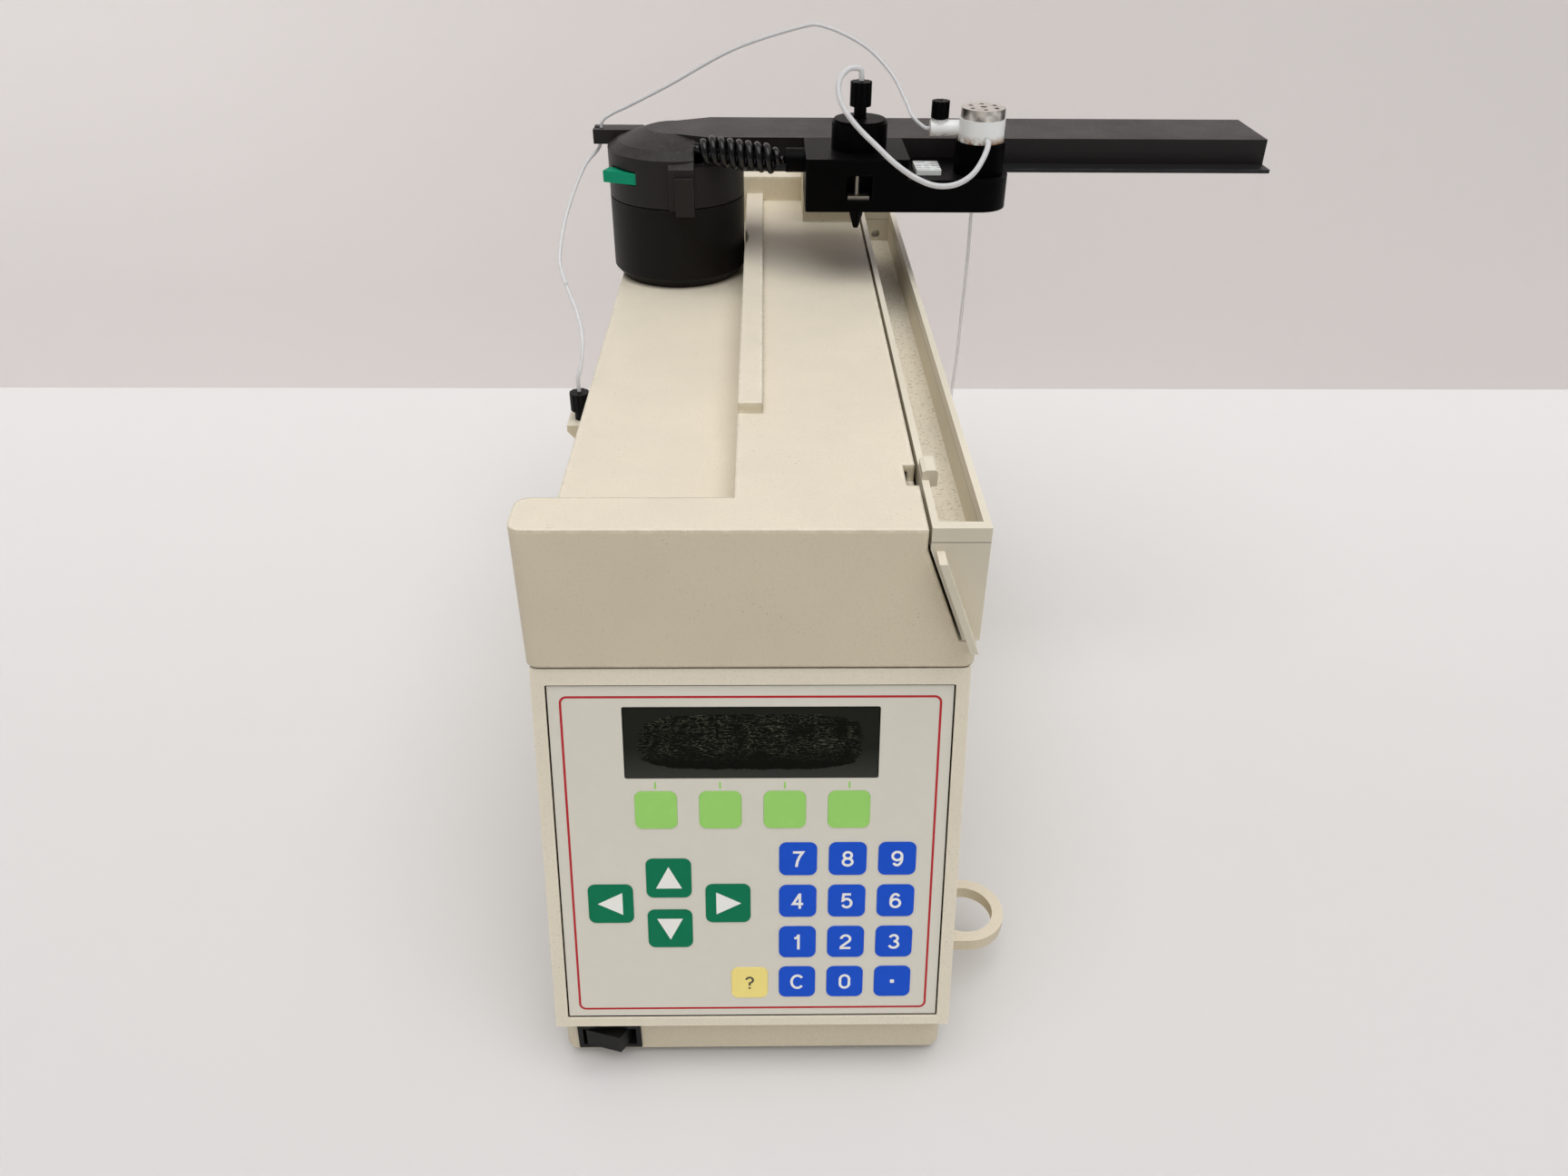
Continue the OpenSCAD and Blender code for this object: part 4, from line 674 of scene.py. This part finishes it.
class CordsOperator(bpy.types.Operator):
    """Builds the inlet, drop and waste tubes and the curly cord"""

    bl_idname = "collector.cords"
    bl_label = "Tubes and cord"

    def execute(self, context):
        look = context.scene.collector_arm
        clear = tube_plastic("clear tube", look.tube, 0.72)
        self.inlet(look, clear)
        self.drop(look, clear)
        self.waste(look, tube_plastic("waste tube", look.tube, 0.4))
        self.curly(look)
        return {"FINISHED"}

    def declare(self, obj, line, diameter, far_end, stiffness, lay, **more):
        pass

    def inlet(self, look, clear):
        """The inlet tube in three stretches."""
        steps = 6
        line = smooth_line(INLET, steps)
        cuts = [0] + [steps * c for c in INLET_SPLITS] + [len(line) - 1]
        bodies = ("root", "column"), ("column", "arm"), ("arm", "carriage")
        names = "inlet_tube_lower", "inlet_tube_upper", "inlet_tube_span"
        for (a, b), name, begin, end in zip(bodies, names, cuts, cuts[1:]):
            part = line[begin:end + 1]
            obj = sweep(name, part, look.thin_tube, 12)
            obj.data.materials.append(clear)
            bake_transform(obj)
            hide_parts("inlet_tube")
            self.declare(obj, part, look.thin_tube, "object", "stiff", "loose")

    def drop(self, look, clear):
        line = smooth_line(DROP, 6)
        obj = sweep("drop_tube_piece", line, look.thick_tube, 16)
        give(obj, clear, "carriage")
        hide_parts("drop_tube")
        self.declare(obj, line, look.thick_tube, "object", "stiff", "loose")

    def waste(self, look, clear):
        line = smooth_line(WASTE, 6)
        obj = sweep("waste_tube_piece", line, look.thin_tube, 12)
        give(obj, clear, "carriage")
        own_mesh(obj)
        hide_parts("waste_tube")
        self.declare(obj, line, look.thin_tube, "bare", "medium", "hanging")

    def curly(self, look):
        """The curly cord: a helix whose curls grow and shrink at its ends."""
        count = CURLS * CURL_RINGS
        ease = 0.75 * CURL_RINGS
        straight = Vector((CORD_STRAIGHT, 0, 0))
        begin, end = Vector(CORD_START) + straight, Vector(CORD_END) - straight
        line = [Vector(CORD_START) * MM]
        for i in range(count + 1):
            radius = CURL_RADIUS * min(1, i / ease, (count - i) / ease)
            angle = 2 * math.pi * i / CURL_RINGS - math.pi / 2
            line.append((begin.lerp(end, i / count) + radius * Vector((0, math.cos(angle), math.sin(angle)))) * MM)
        line.append(Vector(CORD_END) * MM)
        material, tree, surface = new_material("cord jacket", Specular_IOR_Level=0.3, Coat_Weight=0.15)
        fine = tree.noise(0.0015, 4.0, 0.65)
        tree.put(surface.inputs["Base Color"], tree.mix(fine, look.jacket, tinted(look.jacket, 1.8)))
        tree.put(surface.inputs["Roughness"], tree.add("MapRange", Value=fine, To_Min=0.12, To_Max=0.3).outputs[0])
        bump(tree, surface, fine, 0.1, 0.00005)
        obj = sweep("curly_cord_piece", line, look.strand, 14)
        obj.data.materials.append(material)
        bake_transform(obj)
        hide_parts("curly_cord")
        self.declare(obj, line, look.strand, "object", "stiff", "coiled")


class CaseOperator(bpy.types.Operator):
    """Finishes the base pan, housing, top cover, ring, bracket, feet and screws"""

    bl_idname = "collector.case"
    bl_label = "Case"

    def execute(self, context):
        look = context.scene.collector_case
        # tint of the painted shade on upright faces, darker and yellower than the tops
        side_shade = (0.90, 0.875, 0.81)
        cream = moulding("cream moulding", look.cream, look.grain, look.specks, upright=side_shade)
        for node, edge in (("base_pan", 0.9), ("lower_housing", 0.7), ("side_ring", 0.8), ("tube_bracket", 0.4)):
            dress(node, cream)
            soften_edges(node, edge * MM)
        # the cover's lip below its lower edge is painted near-black as the shadow in the gap under the cover
        # the cover's stronger, wider edge wear is partly real wear and partly a painted highlight along its rounded
        # front edge
        dress("top_cover", moulding("cover moulding", look.cream, look.grain, look.specks, shade_below=COVER_EDGE, pale=1.35,
                                   wear=0.8, round_edge=0.0018, wear_and_highlight_reach=0.003, upright=side_shade))
        soften_edges("top_cover", 1.9 * MM, 3)
        dress("drain_trough", trough_plastic(look.trough, look.grain * 0.7, look.specks * 0.4))
        soften_edges("drain_trough", 0.7 * MM)
        rubber, tree, surface = new_material("foot rubber", Specular_IOR_Level=0.3)
        fine = tree.noise(0.0006, 4.0, 0.7)
        tree.put(surface.inputs["Base Color"], tree.mix(fine, (0.012, 0.012, 0.012), (0.03, 0.03, 0.03)))
        tree.put(surface.inputs["Roughness"], tree.add("MapRange", Value=fine, To_Min=0.7, To_Max=0.95).outputs[0])
        bump(tree, surface, fine, 0.3, 0.0001)
        dress("rubber_feet", rubber)
        dress("case_screws", metal("screw steel", (0.56, 0.55, 0.53), 0.3))
        return {"FINISHED"}


class PanelOperator(bpy.types.Operator):
    """Finishes the panel film and display and prints the border and ticks"""

    bl_idname = "collector.panel"
    bl_label = "Key panel"

    def execute(self, context):
        look = context.scene.collector_panel
        sheet = film("panel film", look.film, wear=0.05)
        dress("keypad_overlay", sheet)
        self.webs(sheet)
        self.gap()
        self.border(look)
        self.ticks(look)
        self.display()
        board, tree, surface = new_material("board laminate", Roughness=0.4)
        tracks = tree.ramp(tree.noise(0.003, 1.0, 0.3), 0.49, 0.51)
        tree.put(surface.inputs["Base Color"], tree.mix(tracks, (0.01, 0.09, 0.03), (0.02, 0.14, 0.05)))
        dress("circuit_boards", board)
        return {"FINISHED"}

    def webs(self, sheet):
        """The thin film that closes the gap round each key, clear of the key's side."""
        for key, (x, y) in KEYS.items():
            side = KEY_SIDES.get(key[:4], KEY_SIDES["numb"])
            outer = rounded_outline(side + 2 * KEY_GAP, side + 2 * KEY_GAP, KEY_CORNER + KEY_GAP)
            inner = rounded_outline(side + 0.1, side + 0.1, KEY_CORNER + 0.05)
            obj = printed_ring(key + "_web", outer, inner, x, y, -0.06, 0.05)
            give(obj, sheet, "root")

    def gap(self):
        """The dark gap between the panel film and the edge of its recess."""
        wide, tall = PANEL_W + 0.5, PANEL_H + 0.5
        outer = rounded_outline(wide, tall, 0.7)
        inner = rounded_outline(wide - 1.0, tall - 1.0, 0.3)
        obj = printed_ring("panel_gap", outer, inner, PANEL_W / 2, PANEL_H / 2, 0.0, 0.04)
        give(obj, gloss_black("gap shadow", (0.014, 0.011, 0.009), 0.7, shine=0.02, dust=0), "root")

    def border(self, look):
        """The printed line round the panel, with the keys and display inside it."""
        across, down, radius, line = 128.4, 128.0, 2.6, 0.82
        outer = rounded_outline(across, down, radius)
        inner = rounded_outline(across - 2 * line, down - 2 * line, radius - line)
        obj = printed_ring("panel_border_print", outer, inner, PANEL_W / 2, PANEL_H / 2 + 0.5, 0.0)
        give(obj, film("border ink", look.border), "root")

    def ticks(self, look):
        """The short tick over each soft key."""
        ink = film("tick ink", look.soft)
        for number in range(1, 5):
            x, y = KEYS[f"soft_key_{number}"]
            obj = printed_shape(f"soft_tick_{number}", rounded_outline(0.7, 2.6, 0.2, 2), x, y - 9.6, 0.0)
            give(obj, ink, "root")

    def display(self):
        """Dark glass with the cloudy oval of an old liquid-crystal cell behind it."""
        glass, tree, surface = new_material("display glass", Specular_IOR_Level=0.05, Coat_Weight=0.03,
                                            Coat_Roughness=0.08)
        middle = panel_point(*DISPLAY, 0)
        mapping = tree.add("Mapping", {"vector_type": "POINT"}, Vector=tree.place())
        mapping.inputs["Location"].default_value = (-middle.x, -middle.y, -middle.z)
        apart = tree.add("SeparateXYZ", Vector=mapping.outputs[0])
        across = tree.math("POWER", tree.math("ABSOLUTE", tree.math("DIVIDE", apart.outputs["X"], 0.0385)), 4.0)
        height = tree.math("DIVIDE", apart.outputs["Z"], 0.0105 * math.cos(PANEL_LEAN))
        upright = tree.math("POWER", tree.math("ABSOLUTE", height), 4.0)
        edge = tree.math("MULTIPLY", tree.math("SUBTRACT", tree.noise(0.004, 4.0, 0.7), 0.5), 0.8)
        oval = tree.ramp(tree.math("ADD", tree.math("ADD", across, upright), edge), 1.0, 0.92)
        streak = tree.add("Mapping", Vector=tree.place(), Scale=(0.42, 1.9, 1.9))
        flakes = tree.noise(0.0013, 2.0, 0.5, streak.outputs[0])
        speckle = tree.ramp(tree.math("ABSOLUTE", tree.math("SUBTRACT", flakes, 0.5)), 0.03, 0.008)
        patchy = tree.math("MULTIPLY", tree.ramp(tree.noise(0.006, 3.0, 0.6), 0.34, 0.56), tree.ramp(height, -0.75, -0.2))
        cell = tree.mix(tree.math("MULTIPLY", speckle, patchy), (0.0032, 0.0038, 0.0018), (0.075, 0.082, 0.055))
        rim = tree.mix(tree.ramp(height, -0.2, -1.3), (0.014, 0.0155, 0.011), (0.040, 0.041, 0.036))
        tree.put(surface.inputs["Base Color"], tree.mix(oval, rim, cell))
        tree.put(surface.inputs["Roughness"], tree.add("MapRange", Value=speckle, To_Min=0.16, To_Max=0.34).outputs[0])
        dress("display_module", glass)


class KeysOperator(bpy.types.Operator):
    """Finishes the keys and prints their figures and arrows"""

    bl_idname = "collector.keys"
    bl_label = "Keys"

    def execute(self, context):
        look = context.scene.collector_panel
        films = {"soft": film("soft key film", look.soft), "arro": film("arrow key film", look.arrows, shine=0.15),
                 "numb": film("number key film", look.numbers, shine=0.15), "help": film("help key film", look.help)}
        ink = film("key ink", look.ink)
        dark = film("help ink", (0.10, 0.09, 0.06))
        for key, place in KEYS.items():
            kind = key[:4] if key[:4] in films else "numb"
            dress(key, films[kind])
            soften_edges(key, 0.15 * MM)
            if kind == "arro":
                obj = self.arrow(key, place)
            elif kind == "help":
                obj = self.figure(key, "?", place, 0.85)
            elif kind == "numb":
                text = {"clear_key": "C", "point_key": "."}.get(key, key[-1])
                obj = self.figure(key, text, place)
            else:
                continue
            give(obj, dark if kind == "help" else ink, "b_" + key)
        return {"FINISHED"}

    def arrow(self, key, place):
        """A triangle that points up, down, left or right."""
        turn = {"up": 0, "left": 90, "down": 180, "right": 270}[key.split("_")[-1]]
        c, s = math.cos(math.radians(turn)), math.sin(math.radians(turn))
        outline = [(x * c - y * s, x * s + y * c) for x, y in ((-4.6, -4.2), (4.6, -4.2), (0, 4.7))]
        return printed_shape(key + "_mark", outline, place[0], place[1], KEY_FACE)

    def figure(self, key, text, place, size=1.0):
        """A plain figure, drawn with strokes of even width and laid on its key."""
        if text == ".":
            return printed_shape(key + "_mark", rounded_outline(1.5, 1.5, 0.3, 3), place[0], place[1], KEY_FACE)
        points, faces = [], []
        for number, stroke in enumerate(FIGURES[text]):
            line = [Vector(p) * size for p in stroke]
            first = len(points)
            for i, p in enumerate(line):
                before = (p - line[i - 1]).normalized() if i else (line[1] - p).normalized()
                after = (line[i + 1] - p).normalized() if i + 1 < len(line) else before
                if (line[0] - line[-1]).length < 0.01 and i in (0, len(line) - 1):
                    before, after = (line[-1] - line[-2]).normalized(), (line[1] - line[0]).normalized()
                across = before.orthogonal() + after.orthogonal()
                across *= STROKE * size / 2 / (1 + before.dot(after))
                for z in (0, 0.03 + 0.004 * number):
                    for q in (p + across, p - across):
                        points.append(panel_point(place[0] + q.x, place[1] - q.y, KEY_FACE + z))
            for i in range(first, len(points) - 4, 4):
                faces += [(i + 2, i + 3, i + 7, i + 6), (i, i + 2, i + 6, i + 4), (i + 3, i + 1, i + 5, i + 7)]
            faces += [(first, first + 1, first + 3, first + 2)]
            faces += [(len(points) - 3, len(points) - 4, len(points) - 2, len(points) - 1)]
        return add_mesh(key + "_mark", points, faces, smooth=False)


class SwitchOperator(bpy.types.Operator):
    """Finishes the power switch and the mains inlet"""

    bl_idname = "collector.switch"
    bl_label = "Switch and inlet"

    def execute(self, context):
        black = gloss_black("switch black", (0.005, 0.005, 0.005), shine=0.15)
        for node in ("switch_frame", "power_rocker", "power_inlet"):
            dress(node, black)
            soften_edges(node, 0.25 * MM)
        return {"FINISHED"}


class HeadOperator(bpy.types.Operator):
    """Finishes the pedestal, head, arm, rail, lever and bracket nut"""

    bl_idname = "collector.head"
    bl_label = "Head and arm"

    def execute(self, context):
        look = context.scene.collector_arm
        # the paler film on the shell's upward faces is dust and a painted sheen
        shell = moulding("dark shell", look.shell, 0.0007, 0.12, rough=0.42, depth=0.00009, dust=0.2, wear=0.35,
                         pale=2.6, fleck_tint=3.0, shine=0.26, dust_and_sheen_tint=(0.32, 0.28, 0.275))
        dress("arm_cover", shell)
        soften_edges("arm_cover", 0.8 * MM)
        drum = moulding("pedestal black", look.pedestal, 0.0007, 0.12, rough=0.44, depth=0.00008, dust=0.12, wear=0.3,
                        pale=2.6, fleck_tint=3.0, shine=0.16)
        dress("pedestal", drum)
        soften_edges("pedestal", 0.5 * MM)
        rail, tree, surface = new_material("black anodised plate", Specular_IOR_Level=0.3)
        fine = tree.noise(0.001, 3.0, 0.6)
        rub = use_group(tree, "Edge wear", make_wear, Radius=0.0006, Amount=0.5)
        tree.put(surface.inputs["Base Color"], tree.mix(rub["Mask"], (0.012, 0.012, 0.013), (0.16, 0.15, 0.15)))
        tree.put(surface.inputs["Roughness"], tree.add("MapRange", Value=fine, To_Min=0.3, To_Max=0.5).outputs[0])
        dress("arm_rail", rail)
        lever = moulding("green lever", look.lever, 0.0008, 0.0, rough=0.4, depth=0.00004, dust=0.04, wear=0.3,
                         pale=1.6, shine=0.15)
        dress("lock_lever", lever)
        soften_edges("lock_lever", 0.5 * MM)
        dress("bracket_nut", gloss_black("fitting black", (0.005, 0.005, 0.005), 0.3, shine=0.15))
        return {"FINISHED"}


class CarriageOperator(bpy.types.Operator):
    """Finishes the carriage, knob, fittings and drop tip"""

    bl_idname = "collector.carriage"
    bl_label = "Carriage"

    def execute(self, context):
        look = context.scene.collector_arm
        body = moulding("carriage black", look.carriage, 0.0006, 0.05, rough=0.36, depth=0.00006, dust=0.015,
                        wear=0.3, pale=9.0, fleck_tint=4.0, shine=0.04)
        for node, edge in (("carriage_body", 0.5), ("drop_knob", 0.4)):
            dress(node, body)
            soften_edges(node, edge * MM)
        black = gloss_black("fitting black gloss", (0.0015, 0.0015, 0.0017), 0.25, shine=0.06)
        for node in ("drop_tip", "fitting_nuts"):
            dress(node, black)
        dress("drop_sensor", metal("sensor steel", (0.30, 0.28, 0.25), 0.3))
        return {"FINISHED"}


class ValveOperator(bpy.types.Operator):
    """Finishes the diverter valve: coil, white body and metal cap"""

    bl_idname = "collector.valve"
    bl_label = "Diverter valve"

    def execute(self, context):
        dress("valve_coil", gloss_black("coil black", (0.001, 0.001, 0.0012), 0.36, shine=0.02, dust=0.01))
        white, tree, surface = new_material("white valve body", Roughness=0.4, Subsurface_Weight=0.1)
        low = VALVE_FOOT
        rise = tree.add("SeparateXYZ", Vector=tree.place()).outputs["Z"]
        bottom = tree.ramp(rise, low + 0.0035, low)
        bottom = tree.math("MULTIPLY", bottom, tree.math("GREATER_THAN", rise, low - 0.001))
        stain = tree.math("MULTIPLY", bottom, tree.ramp(tree.noise(0.004, 4.0, 0.7), 0.42, 0.56))
        apart = tree.add("SeparateXYZ", Vector=tree.place())
        stripe = tree.math("LESS_THAN", tree.math("FRACT", tree.math("DIVIDE", apart.outputs["Y"], 0.0031)), 0.42)
        broken = tree.math("GREATER_THAN", tree.noise(0.0024, 1.0, 0.4), 0.45)
        level = tree.math("COMPARE", rise, PAD_TOP)
        level.node.inputs[2].default_value = 0.0002
        marks = tree.math("MULTIPLY", tree.math("MULTIPLY", stripe, broken), level)
        white_tone = tree.mix(marks, (0.93, 0.92, 0.90), (0.42, 0.42, 0.44))
        tree.put(surface.inputs["Base Color"], tree.mix(stain, white_tone, (0.30, 0.13, 0.03)))
        tree.put(surface.inputs["Roughness"], tree.add("MapRange", Value=stain, To_Min=0.35, To_Max=0.6).outputs[0])
        dress("valve_body", white)
        dress("valve_cap", metal("cap metal", (0.86, 0.82, 0.76), 0.26, spots=0.5, side=0.3))
        soften_edges("valve_cap", 0.3 * MM)
        return {"FINISHED"}


class InsideOperator(bpy.types.Operator):
    """Finishes the working parts inside the case and arm"""

    bl_idname = "collector.inside"
    bl_label = "Inside"

    def execute(self, context):
        steel = metal("bright steel", (0.60, 0.59, 0.58), 0.2)
        dress("spindle_bearings", steel)
        dress("lead_screw", steel)
        dress("spindle", metal("turned alloy", (0.66, 0.66, 0.67), 0.3, (1, 1, 30)))
        dress("motor_pinion", metal("cut brass", (0.66, 0.48, 0.18), 0.28))
        dress("swing_gear", moulding("gear acetal", (0.72, 0.68, 0.56), 0.0006, 0.0, rough=0.35, depth=0.00003))
        case = metal("motor case", (0.14, 0.14, 0.145), 0.4)
        dress("swing_motor", case)
        dress("slide_motor", case)
        core, tree, surface = new_material("core laminations", Metallic=0.6)
        mapping = tree.add("Mapping", Vector=tree.place(), Scale=(1, 1, 900))
        plates = tree.noise(1.0, 1.0, 0.5, mapping.outputs[0])
        tree.put(surface.inputs["Base Color"], tree.mix(plates, (0.08, 0.06, 0.05), (0.18, 0.15, 0.12)))
        tree.put(surface.inputs["Roughness"], tree.add("MapRange", Value=plates, To_Min=0.4, To_Max=0.7).outputs[0])
        dress("transformer", core)
        return {"FINISHED"}


OPERATORS = (
    StudioOperator, CordsOperator, CaseOperator, PanelOperator, KeysOperator, SwitchOperator,
    HeadOperator, CarriageOperator, ValveOperator, InsideOperator,
)


class CollectorPanel(bpy.types.Panel):
    """Lists the steps that finish the collector"""

    bl_idname = "VIEW3D_PT_collector"
    bl_label = "Fraction collector"
    bl_space_type = "VIEW_3D"
    bl_region_type = "UI"
    bl_category = "Collector"

    def draw(self, context):
        for group in SETTINGS:
            settings = getattr(context.scene, group)
            for name in settings.bl_rna.properties.keys():
                if name not in ("rna_type", "name"):
                    self.layout.prop(settings, name)
        for operator in OPERATORS:
            self.layout.operator(operator.bl_idname)


def register():
    for name, group in SETTINGS.items():
        bpy.utils.register_class(group)
        setattr(bpy.types.Scene, name, bpy.props.PointerProperty(type=group))
    for cls in (*OPERATORS, CollectorPanel):
        bpy.utils.register_class(cls)


def unregister():
    for cls in reversed((*OPERATORS, CollectorPanel)):
        bpy.utils.unregister_class(cls)
    for name, group in reversed(SETTINGS.items()):
        delattr(bpy.types.Scene, name)
        bpy.utils.unregister_class(group)


def main():
    register()
    for operator in OPERATORS:
        group, name = operator.bl_idname.split(".")
        getattr(getattr(bpy.ops, group), name)()


if __name__ == "__main__":
    main()
